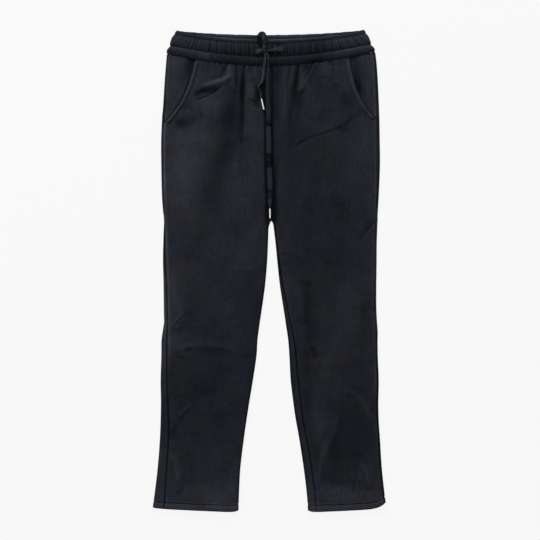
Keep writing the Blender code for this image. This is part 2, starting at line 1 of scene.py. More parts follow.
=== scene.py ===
"""Ankle-length pull-on trousers with a drawstring, laid flat on their back.

The garment rests on z = 0 with its front up. +Y runs from the hems to the waist, and
sides are the wearer's, so the right leg lies at -X. Each leg is a flattened tube: a
back layer, a rounded fold at each edge and a front layer on top. Sizes and tables are
in millimetres. "Height" is the distance up the garment from its lowest hem point,
"across" the distance from its middle towards a leg's own side, and "reach" the
distance round a layer's cloth from its outer edge.
"""
import logging
import math
from dataclasses import dataclass, field
from enum import Enum
from functools import partial
from typing import Iterable, Optional, Sequence

import bmesh
import bpy
import numpy as np
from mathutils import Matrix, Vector
from mathutils.bvhtree import BVHTree


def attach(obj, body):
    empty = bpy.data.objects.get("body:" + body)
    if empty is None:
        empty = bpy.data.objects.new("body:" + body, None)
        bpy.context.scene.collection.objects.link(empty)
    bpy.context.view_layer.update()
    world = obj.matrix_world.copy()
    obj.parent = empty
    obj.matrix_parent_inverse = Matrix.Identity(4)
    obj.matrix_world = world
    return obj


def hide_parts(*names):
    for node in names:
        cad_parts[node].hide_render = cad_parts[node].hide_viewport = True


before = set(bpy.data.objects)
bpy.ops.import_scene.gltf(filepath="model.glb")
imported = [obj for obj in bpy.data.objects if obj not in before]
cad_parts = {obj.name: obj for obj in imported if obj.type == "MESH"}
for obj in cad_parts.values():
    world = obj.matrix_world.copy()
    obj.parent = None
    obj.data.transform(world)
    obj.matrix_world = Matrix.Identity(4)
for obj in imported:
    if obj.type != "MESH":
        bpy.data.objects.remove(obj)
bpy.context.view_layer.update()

log = logging.getLogger("trousers")
Array = np.ndarray
Place = tuple[float, float]

MM = 0.001
LENGTH = 1000.0
CROTCH_HEIGHT = 604.0
CENTRE_SEAM = 4.0
CLOTH = 2.4
HEM_CLOTH = 3.2
HEM_DEPTH = 15.0
LAID_HEIGHT = 8.0
HEM_LAID_HEIGHT = 9.2
SEAM_GAP = 0.3
WAIST_HEIGHT = 951.5
WAIST_TILT = 2.1
WAIST_HALF = 215.0
FRONT_DIP = 27.0
BACK_DIP = 10.0
CROTCH_FOLD = 42.0
WAIST_POWER = 1.2
BAND_TAPER = 0.027
UNTOUCHED = 99.0


class Side(Enum):
    """Which of the wearer's sides a piece is on. Its value is the sign of x there."""

    RIGHT = -1
    LEFT = 1


# ---------------------------------------------------------------- numbers and curves

def ease(share: Array | float) -> Array:
    """Smooth step: 0 below 0, 1 above 1, and 3s^2 - 2s^3 between them."""
    share = np.clip(share, 0.0, 1.0)
    return share * share * (3.0 - 2.0 * share)


def lerp(start: Array | float, end: Array | float, share: Array | float) -> Array:
    """Value a share of the way from start to end."""
    return start + (end - start) * share


def bell(at: Array | float, middle: float, width: float) -> Array:
    """A rounded hump, 1 at its middle: exp(-((at - middle) / width)^2)."""
    return np.exp(-((at - middle) / width) ** 2)


def unit(runs: Array) -> Array:
    """Rows of directions, each made one long."""
    return runs / np.linalg.norm(runs, axis=1, keepdims=True)


def shares(count: int) -> Array:
    """A row of even shares from 0 to 1, in a number of steps."""
    return np.linspace(0.0, 1.0, count + 1)[None, :]


def smooth_value(places: Sequence[float], values: Sequence[float], at: Array) -> Array:
    """Read a smooth curve through a table.

    Formula: cubic Hermite pieces whose slope at each table row is the slope between
    that row's two neighbours. Outside the table the end values hold.

    Args:
        places: the table's places, rising.
        values: the table's values.
        at: where to read the curve.

    Returns:
        The curve's values, in the shape of at.
    """
    x = np.asarray(places, float)
    y = np.asarray(values, float)
    low = np.maximum(np.arange(len(x)) - 1, 0)
    high = np.minimum(np.arange(len(x)) + 1, len(x) - 1)
    slope = (y[high] - y[low]) / (x[high] - x[low])
    at = np.clip(at, x[0], x[-1])
    i = np.clip(np.searchsorted(x, at, side="right") - 1, 0, len(x) - 2)
    step = x[i + 1] - x[i]
    t = (at - x[i]) / step
    return (
        (2 * t ** 3 - 3 * t ** 2 + 1) * y[i] + (3 * t ** 2 - 2 * t ** 3) * y[i + 1]
        + (t ** 3 - 2 * t ** 2 + t) * step * slope[i] + (t ** 3 - t ** 2) * step * slope[i + 1]
    )


def smooth_route(points: Sequence[Sequence[float]], spacing: float) -> Array:
    """Points at an even spacing on a smooth curve through a route's points.

    Args:
        points: rows of (x, height, anything else carried along).
        spacing: wanted distance between the returned points.

    Returns:
        Rows with the same columns as points.
    """
    table = np.asarray(points, float)
    runs = np.hypot(*np.diff(table[:, :2], axis=0).T)
    places = np.concatenate([[0.0], np.cumsum(runs)])
    count = max(2, int(round(places[-1] / spacing)))
    at = np.linspace(0.0, places[-1], count + 1)
    return np.stack([smooth_value(places, column, at) for column in table.T], axis=1)


def wander(at: Array, pitch: float, seed: int) -> Array:
    """A smooth uneven wave between about -1 and 1.

    Formula: four sines whose lengths run from pitch to about a quarter of it, with
    phases drawn from the seed and heights that fall with their length.
    """
    draw = np.random.default_rng(seed)
    total = np.zeros_like(np.asarray(at, float))
    for part in range(4):
        length = pitch / (1.0 + 0.83 * part) * draw.uniform(0.88, 1.12)
        total = total + np.sin(2 * math.pi * (at / length + draw.uniform())) / (1.0 + 0.7 * part)
    return total / 1.9


# ---------------------------------------------------------------- creases

@dataclass(frozen=True)
class Crease:
    """One fold or dent of the cloth along a line.

    Attributes:
        line: (x, height) points the fold runs through.
        width: half width of its slope.
        lift: height of its ridge, or depth of its trough when negative.
        tone: how much lighter its cloth is coloured: painted light along a ridge, painted shade along a trough.
        skew: from -1 to 1, steeper on its right when positive and on its left when
            negative, seen along the line.
    """

    line: tuple[Place, ...]
    width: float
    lift: float
    tone: float = 0.0
    skew: float = 0.0


@dataclass(frozen=True)
class Patch:
    """A soft patch of lighter or darker cloth, or a broad swell of it. Its tone is partly the nap's own colour and
    partly painted light and shade.

    Attributes:
        x: its middle across the garment.
        height: its middle up the garment.
        half_x: its half size across.
        half_height: its half size up the garment.
        lift: how far it swells up.
        tone: how much lighter it is coloured.
        lean: its turn in degrees, anticlockwise.
    """

    x: float
    height: float
    half_x: float
    half_height: float
    lift: float = 0.0
    tone: float = 0.0
    lean: float = 0.0


def crease_field(x: Array, height: Array, creases: Iterable[Crease]) -> tuple[Array, Array]:
    """Relief and tone of a set of creases.

    Formula: with d the distance from a place to the crease's smooth line, the relief
    is lift * exp(-(d / w)^2), where w is the width made larger on one side and smaller
    on the other by the skew. It fades out over the last fifth at each end.

    Args:
        x: places across the garment.
        height: places up the garment.
        creases: the creases.

    Returns:
        Relief in millimetres and tone, in the shape of x.
    """
    relief = np.zeros_like(x)
    tone = np.zeros_like(x)
    for crease in creases:
        line = smooth_route(crease.line, max(3.0, crease.width))
        margin = crease.width * (2.4 + 1.6 * abs(crease.skew))
        near = (
            (x > line[:, 0].min() - margin) & (x < line[:, 0].max() + margin)
            & (height > line[:, 1].min() - margin) & (height < line[:, 1].max() + margin)
        )
        if not near.any():
            continue
        px, py = x[near], height[near]
        best = np.full(px.shape, 1e9)
        side = np.zeros_like(px)
        share = np.zeros_like(px)
        count = len(line) - 1
        for number in range(count):
            ax, ay = line[number]
            bx, by = line[number + 1]
            ux, uy = bx - ax, by - ay
            square = ux * ux + uy * uy
            t = np.clip(((px - ax) * ux + (py - ay) * uy) / square, 0.0, 1.0)
            gap = np.hypot(px - ax - t * ux, py - ay - t * uy)
            closer = gap < best
            cross = (ux * (py - ay) - uy * (px - ax)) / math.sqrt(square)
            side = np.where(closer, -np.sign(cross), side)
            share = np.where(closer, (number + t) / count, share)
            best = np.where(closer, gap, best)
        width = crease.width * (1.0 - 0.65 * crease.skew * side)
        profile = bell(best, 0.0, width)
        profile *= ease(share / 0.22 + 0.12) * ease((1.0 - share) / 0.22 + 0.12)
        relief[near] += crease.lift * profile
        # The tone is painted light on ridges and painted shade in troughs, in the same bell as the relief.
        tone[near] += crease.tone * profile
    return relief, tone


def patch_field(x: Array, height: Array, patches: Iterable[Patch]) -> tuple[Array, Array]:
    """Relief and tone of a set of patches: each a turned bell, exp(-(u^2 + v^2)).

    Args:
        x: places across the garment.
        height: places up the garment.
        patches: the patches.

    Returns:
        Relief in millimetres and tone, in the shape of x.
    """
    relief = np.zeros_like(x)
    tone = np.zeros_like(x)
    for patch in patches:
        turn = math.radians(patch.lean)
        dx, dy = x - patch.x, height - patch.height
        u = (dx * math.cos(turn) + dy * math.sin(turn)) / patch.half_x
        v = (dy * math.cos(turn) - dx * math.sin(turn)) / patch.half_height
        hump = np.exp(-(u * u + v * v))
        relief += patch.lift * hump
        tone += patch.tone * hump
    return relief, tone


# ---------------------------------------------------------------- meshes

def make_object(
    name: str, points: Array, faces: Sequence[Sequence[int]], uv: Optional[Array] = None,
    tone: Optional[Array] = None, weld: bool = False,
) -> bpy.types.Object:
    """Make a smooth-shaded object from points in millimetres.

    Args:
        name: the piece's name.
        points: rows of (x, height, z) in millimetres.
        faces: vertex numbers of each face, anticlockwise from outside.
        uv: rows of (u, v) in metres, one for each point.
        tone: how much lighter each point is coloured.
        weld: whether to join points that meet, where a strip narrows to nothing.

    Returns:
        The object, at the origin with its place in its mesh.
    """
    places = np.asarray(points, float) * MM
    places[:, 1] -= LENGTH / 2 * MM
    mesh = bpy.data.meshes.new(name)
    mesh.from_pydata(places.tolist(), [], faces if isinstance(faces, list) else faces.tolist())
    mesh.update()
    corner = np.zeros(len(mesh.loops), dtype=np.int64)
    mesh.loops.foreach_get("vertex_index", corner)
    flat = np.zeros((len(places), 2)) if uv is None else np.asarray(uv, float)
    layer = mesh.uv_layers.new(name="cut")
    layer.data.foreach_set("uv", flat[corner].ravel().astype(np.float32))
    tones = np.zeros(len(places)) if tone is None else np.asarray(tone, float)
    mesh.attributes.new("tone", "FLOAT", "POINT").data.foreach_set("value", tones.astype(np.float32))
    if weld:
        weld_points(mesh)
    mesh.polygons.foreach_set("use_smooth", np.ones(len(mesh.polygons), dtype=bool))
    mesh.update()
    obj = bpy.data.objects.new(name, mesh)
    bpy.context.scene.collection.objects.link(obj)
    return obj


def weld_points(mesh: bpy.types.Mesh) -> None:
    """Join points closer than a hundredth of a millimetre."""
    work = bmesh.new()
    work.from_mesh(mesh)
    bmesh.ops.remove_doubles(work, verts=work.verts, dist=0.00001)
    bmesh.ops.dissolve_degenerate(work, edges=work.edges, dist=0.000002)
    work.to_mesh(mesh)
    work.free()


def grid_faces(rows: int, columns: int, start: int = 0, round_rows: bool = False, round_columns: bool = False) -> Array:
    """Quads of a grid of points numbered row by row, closed round if asked."""
    i = np.arange(rows if round_rows else rows - 1)
    j = np.arange(columns if round_columns else columns - 1)
    i, j = np.meshgrid(i, j, indexing="ij")
    ahead_i = (i + 1) % rows
    ahead_j = (j + 1) % columns
    here, there = i * columns, ahead_i * columns
    quads = np.stack([here + j, here + ahead_j, there + ahead_j, there + j], axis=-1)
    return quads.reshape(-1, 4) + start


def faces_outwards(points: Array, faces: Array, outward: Array) -> Array:
    """Turn a whole set of quads round if most face away from a direction.

    Args:
        points: the points the quads join.
        faces: the quads.
        outward: an outward direction at each point.

    Returns:
        The quads, turned so that they face outwards.
    """
    one, two, three = (points[faces[:, n]] for n in (0, 1, 2))
    normal = np.cross(two - one, three - one)
    return faces if (normal * outward[faces[:, 0]]).sum() > 0 else faces[:, ::-1]


def closed_wall(name: str, outer: Array, inner: Array, uv: Array, tone: Array, weld: bool = False) -> bpy.types.Object:
    """A closed wall between two grids of points.

    Formula: the outer grid faces out, the inner grid faces the other way, and a strip
    of quads joins their four edges.

    Args:
        name: the piece's name.
        outer: its outer side, rows by columns by (x, height, z).
        inner: its inner side, in the same grid.
        uv: the grid's places on the flat cut, in metres.
        tone: the grid's tones.
        weld: whether the grid narrows to nothing somewhere.

    Returns:
        The object.
    """
    rows, columns = outer.shape[:2]
    count = rows * columns
    points = np.concatenate([outer.reshape(-1, 3), inner.reshape(-1, 3)])
    outward = np.tile((outer - inner).reshape(-1, 3), (2, 1))
    sheet = grid_faces(rows, columns)
    turned = faces_outwards(points, sheet, outward)
    is_turned = turned is not sheet
    numbers = np.arange(count).reshape(rows, columns)
    rims = []
    for line in (numbers[0], numbers[:, -1], numbers[-1][::-1], numbers[:, 0][::-1]):
        here, ahead = line[:-1], line[1:]
        rims.append(np.stack([ahead, here, here + count, ahead + count], axis=-1))
    rim = np.concatenate(rims)
    if is_turned:
        rim = rim[:, ::-1]
    faces = np.concatenate([turned, turned[:, ::-1] + count, rim])
    return make_object(
        name, points, faces, np.tile(uv.reshape(-1, 2), (2, 1)), np.tile(tone.reshape(-1), 2), weld
    )


def swept(
    name: str, centres: Array, across: Array, upward: Array, profile: Array, tone: Optional[Array] = None,
    uv_width: float = 1.0,
) -> bpy.types.Object:
    """A closed profile carried along a path, with both ends shut.

    Formula: point = centre + profile_a * across + profile_b * upward, for each place
    on the path and each corner of that place's profile.

    Args:
        name: the piece's name.
        centres: the path's (x, height, z) points.
        across: the across direction at each point.
        upward: the upward direction at each point.
        profile: points by corners by 2, the profile at each place in millimetres.
        tone: points by corners, or None.
        uv_width: the width that the profile's corners cover on the flat cut.

    Returns:
        The object.
    """
    rows, corners = profile.shape[:2]
    points = centres[:, None] + profile[..., :1] * across[:, None] + profile[..., 1:] * upward[:, None]
    run = np.concatenate([[0.0], np.cumsum(np.linalg.norm(np.diff(centres, axis=0), axis=1))])
    u = np.broadcast_to(np.linspace(0.0, uv_width, corners), (rows, corners))
    v = np.broadcast_to(run[:, None], (rows, corners))
    uv = np.stack([u, v], axis=-1) * MM
    flat = points.reshape(-1, 3)
    outward = (points - points.mean(axis=1, keepdims=True)).reshape(-1, 3)
    sheet = grid_faces(rows, corners, round_columns=True)
    turned = faces_outwards(flat, sheet, outward)
    first, last = np.arange(corners), np.arange(corners) + (rows - 1) * corners
    ends = [first[::-1].tolist(), last.tolist()] if turned is sheet else [first.tolist(), last[::-1].tolist()]
    tones = None if tone is None else tone.reshape(-1)
    return make_object(name, flat, turned.tolist() + ends, uv.reshape(-1, 2), tones)


def surface_tree(objects: Iterable[bpy.types.Object]) -> BVHTree:
    """A search tree of the objects' faces, in metres."""
    places: list = []
    faces: list = []
    for obj in objects:
        start = len(places)
        mesh = obj.data
        co = np.zeros(len(mesh.vertices) * 3)
        mesh.vertices.foreach_get("co", co)
        places += co.reshape(-1, 3).tolist()
        faces += [[start + i for i in polygon.vertices] for polygon in mesh.polygons]
    return BVHTree.FromPolygons(places, faces)


def top_of(tree: BVHTree, x: Array, height: Array) -> Array:
    """Height in millimetres of the topmost surface under each place."""
    spots = zip((np.asarray(x) * MM).ravel(), ((np.asarray(height) - LENGTH / 2) * MM).ravel())
    down = Vector((0.0, 0.0, -1.0))
    hits = [tree.ray_cast(Vector((px, py, 0.2)), down)[0] for px, py in spots]
    return np.array([hit.z / MM if hit else 0.0 for hit in hits]).reshape(np.shape(x))


def settle(floor: Array, steps: int) -> Array:
    """A floor line that never dips below its neighbours, then smoothed.

    Formula: each value becomes the largest within steps places of it, then the mean
    of the same span.
    """
    padded_floor = np.pad(floor, 2 * steps, mode="edge")
    windows = np.lib.stride_tricks.sliding_window_view(padded_floor, 2 * steps + 1)
    highest = windows.max(axis=1)
    return np.lib.stride_tricks.sliding_window_view(highest, 2 * steps + 1).mean(axis=1)


# ---------------------------------------------------------------- legs

@dataclass(frozen=True)
class Station:
    """Outline of a leg at one height: its edges, and how far its seams lie in from them."""

    height: float
    outer: float
    inner: float
    side_inset: float
    inseam_inset: float


@dataclass(frozen=True)
class Section:
    """The flattened tube of a leg where each row crosses it, as columns of values."""

    outer: Array
    inner: Array
    radius: Array
    middle: Array
    inner_angle: Array
    thickness: Array
    flat: Array

    @property
    def quarter(self) -> Array:
        """Length of the quarter turn at the outer fold."""
        return self.radius * math.pi / 2

    @property
    def layer(self) -> Array:
        """Length of one layer, from its outer edge to its inner end."""
        return self.radius * (math.pi / 2 + self.inner_angle) + self.flat

    @property
    def outline(self) -> Array:
        """Across position of the outline."""
        return self.outer + self.thickness / 2


@dataclass(frozen=True)
class Leg:
    """One leg: a flattened tube whose outline comes from a table of stations.

    Attributes:
        side: which of the wearer's legs it is.
        hem_tilt: how far the hem rises from its inner corner to its outer one.
        hem_corner: how far the hem's outer corner turns up.
        pocket: (across, height) points that draw the pocket opening as one cubic curve.
        stations: the outline.
        creases: the folds of its front.
        patches: the broad swells of its front, and its lighter and darker patches, partly nap and partly painted light
            and shade.
        gathers: (x, length, width, depth, lean) of the troughs under the waistband.
        facing_dips: (height, distance) from the opening at which its facing starts to dip.
        facing_shade: height and strength of a spot of painted shade on its facing.
    """

    side: Side
    hem_tilt: float
    hem_corner: float
    pocket: tuple[Place, ...]
    stations: tuple[Station, ...]
    creases: tuple[Crease, ...]
    patches: tuple[Patch, ...]
    gathers: tuple[tuple[float, ...], ...]
    facing_dips: tuple[Place, ...]
    facing_shade: Place

    @property
    def name(self) -> str:
        """Its side, as piece names give it."""
        return self.side.name.lower()

    @property
    def sign(self) -> int:
        """The sign of x on its side."""
        return self.side.value

    def column(self, name: str, height: Array) -> Array:
        """One column of the station table at some heights."""
        return smooth_value([s.height for s in self.stations], [getattr(s, name) for s in self.stations], height)

    def hem_height(self, share: Array) -> Array:
        """Height of the hem, tilted and turned up at both corners; the share is 0 at its outer end."""
        return self.hem_tilt * (1.0 - share) + self.hem_corner * (1.0 - share) ** 12 + 4.0 * share ** 24 - 1.0

    def row_height(self, row: Array, across: Array, outline: Array, inner: Array, dip: float) -> Array:
        """Height of a row, counted 0 at the hem, 1 at the crotch and 2 at the waist seam."""
        share = np.clip((outline - across) / (outline - inner), 0.0, 1.0)
        lower = lerp(self.hem_height(share), CROTCH_HEIGHT, np.minimum(row, 1.0))
        waist = waist_height(self.sign * across, across / outline, dip, WAIST_POWER) - 0.05
        return np.where(row <= 1.0, lower, lerp(CROTCH_HEIGHT, waist, np.maximum(row - 1.0, 0.0)))

    def edge_heights(self, row: Array) -> tuple[Array, Array]:
        """Heights of rows at the leg's outer edge, and at its inner edge or centre seam."""
        outer = self.row_height(row, np.float64(WAIST_HALF), np.float64(WAIST_HALF), np.float64(0.0), 0.0)
        inner = self.row_height(row, np.float64(0.0), np.float64(WAIST_HALF), np.float64(0.0), FRONT_DIP)
        return outer, inner

    def section(self, row: Array, gap: float = SEAM_GAP) -> Section:
        """The leg's tube at some rows, with the gap left at the centre seam.

        Formula: both folds are half circles whose diameter is the laid height less the
        cloth; above the crotch the inner fold opens out into the centre seam.
        """
        outer_height, inner_height = self.edge_heights(row)
        hem_share = 1.0 - ease((outer_height - self.hem_height(np.float64(0.0)) - HEM_DEPTH) / 2.0)
        thickness = lerp(CLOTH, HEM_CLOTH, hem_share)
        radius = (lerp(LAID_HEIGHT, HEM_LAID_HEIGHT, hem_share) - thickness) / 2
        outer = self.column("outer", outer_height) - thickness / 2
        closed = np.where(row < 1.0, 1.0, 1.0 - ease((inner_height - CROTCH_HEIGHT) / CROTCH_FOLD))
        angle = closed * math.pi / 2
        seam = self.sign * CENTRE_SEAM + gap / 2 + thickness / 2 * np.sin(angle)
        inner = np.where(row < 1.0, self.column("inner", inner_height) + thickness / 2, seam)
        flat = outer - radius - inner - radius * np.sin(angle)
        return Section(outer, inner, radius, radius + thickness / 2, angle, thickness, flat)

    def surface(self, row: Array, section: Section, reach: Array) -> tuple[Array, Array, Array]:
        """Middle of the cloth at a reach round the leg.

        Formula: from 0 at the outer edge, a positive reach runs round the back layer
        and past the inner fold onto the front, and a negative one along the front. A
        layer is a quarter turn, a flat run and a part turn of the fold's radius.

        Args:
            row: the rows, as a column.
            section: the leg's tube at the rows.
            reach: rows by columns.

        Returns:
            Points (x, height, z), outward directions, and 1 on the front or -1 on the back.
        """
        layer = section.layer
        along = np.where(reach < 0, -reach, np.where(reach > layer, 2 * layer - reach, reach))
        up = np.where((reach < 0) | (reach > layer), 1.0, -1.0)
        r, q = section.radius, section.quarter
        turn = np.clip(along / r, 0.0, math.pi / 2)
        end = np.clip((along - q - section.flat) / r, 0.0, math.pi / 2 + 0.2)
        run = np.clip(along - q, 0.0, section.flat)
        across = section.outer - r + r * np.cos(turn) - run - r * np.sin(end)
        bend = np.sin(turn) * np.cos(end)
        lean = np.cos(turn) - np.sin(end)
        dip = np.where(up > 0, FRONT_DIP, BACK_DIP)
        height = self.row_height_by_side(row, across, section, dip)
        point = np.stack([self.sign * across, height, section.middle + up * r * bend], axis=-1)
        direction = np.stack([self.sign * lean, np.zeros_like(lean), up * bend], axis=-1)
        direction /= np.linalg.norm(direction, axis=-1, keepdims=True)
        return point, direction, up

    def row_height_by_side(self, row: Array, across: Array, section: Section, dip: Array) -> Array:
        """Height of rows on the front or the back, whose waist seams dip differently."""
        front = self.row_height(row, across, section.outline, section.inner, FRONT_DIP)
        back = self.row_height(row, across, section.outline, section.inner, BACK_DIP)
        return np.where(dip == FRONT_DIP, front, back)

    def inset_reach(self, section: Section, inset: Array) -> Array:
        """Reach at which the cloth lies an inset in from the outline."""
        outside = section.radius + section.thickness / 2
        turned = section.radius * np.arccos(np.clip(1.0 - inset / outside, -1.0, 1.0))
        return np.where(inset < outside, turned, section.quarter + inset - outside)

    def side_reach(self, row: Array, section: Section) -> Array:
        """Reach of the side seam on the front."""
        return self.inset_reach(section, self.column("side_inset", self.edge_heights(row)[0]))

    def inseam_reach(self, row: Array, section: Section) -> Array:
        """Reach of the inseam on the front, from the inner edge; 0 above the crotch."""
        inset = self.column("inseam_inset", self.edge_heights(row)[1])
        return np.where(row < 1.0, self.inset_reach(section, inset), 0.0)

    def pocket_point(self, share: Array) -> tuple[Array, Array]:
        """(across, height) on the pocket opening: a cubic Bezier of its four points."""
        rest = 1.0 - share
        weights = (rest ** 3, 3 * rest * rest * share, 3 * rest * share * share, share ** 3)
        return tuple(sum(w * point[i] for w, point in zip(weights, self.pocket)) for i in (0, 1))

    def pocket_inward(self, share: Array, ahead: float) -> Array:
        """Direction in from the pocket opening, square to its run a little further ahead."""
        across, height = self.pocket_point(share)
        further = self.pocket_point(share + ahead)
        run = unit(np.stack([further[0] - across, further[1] - height], axis=-1))
        inward = np.stack([run[:, 1], -run[:, 0]], axis=-1)
        return inward * np.where(inward[:, :1] > 0, -1.0, 1.0)

    @property
    def pocket_row(self) -> float:
        """The row on which the pocket opening meets the side seam."""
        waist = float(self.edge_heights(np.float64(2.0))[0])
        return 1.0 + (self.pocket[-1][1] - CROTCH_HEIGHT) / (waist - CROTCH_HEIGHT)

    def pocket_across(self, height: Array) -> Array:
        """Across position of the pocket opening at some heights, read off its curve."""
        across, line = self.pocket_point(np.linspace(1.0, 0.0, 400))
        return np.interp(height, line, across)

    def pocket_reach(self, row: Array, section: Section) -> Array:
        """Reach at which each row of the front crosses the pocket opening.

        Formula: the reach is refined twelve times to where the outline less the reach
        past the fold equals the opening's across position at the row's height.
        """
        reach = section.layer * 0.15
        for _ in range(12):
            point = self.surface(row, section, -reach)[0]
            across = np.abs(point[..., 0])
            reach = np.clip(reach + (across - self.pocket_across(point[..., 1])), 0.5, section.layer / 2)
        return reach

    def gather_field(self, x: Array, height: Array) -> tuple[Array, Array]:
        """Relief and tone of the gathers under the waistband.

        Formula: fine waves 7 mm apart die out over the first 14 mm below the seam, and
        each named trough is a bell across its leaning line that fades down its length.
        """
        seam = waist_height(x, np.abs(x) / WAIST_HALF, FRONT_DIP, WAIST_POWER)
        below = np.maximum(seam - height, 0.0)
        phase = x / 7.0 + 0.35 * wander(x, 46.0, 11)
        fine = (0.5 + 0.5 * np.cos(2 * math.pi * phase)) * bell(below, 0.0, 11.0)
        middle = ease((150.0 - np.abs(x)) / 60.0)
        relief = 0.75 * fine * lerp(0.35, 1.0, middle)
        # The tone paints light on the crests of the fine gathers and on the troughs' shoulders, and shade in the
        # troughs.
        tone = 0.08 * fine * middle
        for place, length, width, depth, lean in self.gathers:
            line = place + lean * np.minimum(below, length)
            spread = width * (1.0 + 0.9 * below / max(length, 1.0))
            trough = bell(x, line, spread)
            fade = 1.0 - ease((below - 0.25 * length) / (0.85 * length))
            shoulder = np.exp(-((np.abs(x - line) - 1.9 * spread) / spread) ** 2)
            relief += fade * (0.35 * depth * shoulder - depth * trough)
            tone += fade * (0.05 * shoulder - 0.16 * trough) * min(1.6, depth)
        return relief, tone

    def front_field(self, x: Array, height: Array, edge: Array) -> tuple[Array, Array]:
        """Relief and tone of everything that lies on the front.

        Args:
            x: places across the garment.
            height: places up the garment.
            edge: distance from the nearer fold or centre seam.

        Returns:
            Relief in millimetres, faded out at the folds, and tone.
        """
        crease, crease_tone = crease_field(x, height, self.creases)
        swell, swell_tone = patch_field(x, height, self.patches)
        gather, gather_tone = self.gather_field(x, height)
        pillow = 2.2 * (1.0 - (1.0 - np.clip(edge / 40.0, 0.0, 1.0)) ** 2)
        pillow *= ease((height - 8.0) / 60.0) * ease((waist_height(x, 0 * x, FRONT_DIP, WAIST_POWER) - height) / 50.0)
        uneven = 0.35 * wander(x + 0.35 * height, 92.0, 5) + 0.3 * wander(height - 0.2 * x, 128.0, 8)
        fade = ease((edge - 1.0) / 9.0)
        relief = fade * (crease + swell + pillow + uneven * ease(edge / 25.0)) + ease(edge / 4.0) * gather
        return relief, crease_tone + swell_tone + gather_tone


def waist_height(x: Array, spread: Array, dip: float, power: float) -> Array:
    """Height of a line round the waist: level at its corners, dipped (1 - spread^2)^power between them."""
    return WAIST_HEIGHT + WAIST_TILT * x / WAIST_HALF - dip * np.maximum(0.0, 1.0 - spread * spread) ** power


def panel_rows(fine: float, coarse: float) -> Array:
    """Rows of a leg panel, closer at the hem, below the waist and at the seam.

    Args:
        fine: spacing over the top 110 mm.
        coarse: spacing over the rest.

    Returns:
        The rows as a column, 0 at the hem and 2 at the waist seam.
    """
    rise = WAIST_HEIGHT - CROTCH_HEIGHT
    heights = [np.arange(0.0, 19.0, 0.85), np.arange(19.0, CROTCH_HEIGHT, coarse)]
    rows = [part / CROTCH_HEIGHT for part in heights]
    above = [
        np.arange(0.0, rise - 110.0, coarse), np.arange(rise - 110.0, rise - 3.0, fine),
        np.linspace(rise - 3.0, rise, 4),
    ]
    rows += [1.0 + part / rise for part in above]
    return np.concatenate(rows)[:, None]


def edged_columns(start: Array, end: Array, steps: Sequence[float], count: int) -> Array:
    """Reaches between two edges, closer near both.

    Args:
        start: reach of the first edge on each row.
        end: reach of the second edge on each row.
        steps: distances in from each edge, rising from 0.
        count: spaces between the last of the steps and its mirror.

    Returns:
        Rows by columns of reaches.
    """
    near = np.asarray(steps, float)[None, :]
    scale = np.minimum(1.0, (end - start) / (4.0 * near[0, -1]))
    first = start + near * scale
    last = end - near[:, ::-1] * scale
    share = np.linspace(0.0, 1.0, count + 1)[1:-1][None, :]
    middle = lerp(first[:, -1:], last[:, :1], share)
    return np.concatenate([first, middle, last], axis=1)


def roll(distance: Array, radius: float) -> Array:
    """How far an edge has rolled under: a quarter circle of the radius, 0 past it."""
    inside = np.clip(radius - distance, 0.0, radius)
    return radius - np.sqrt(np.maximum(radius * radius - inside * inside, 0.0))


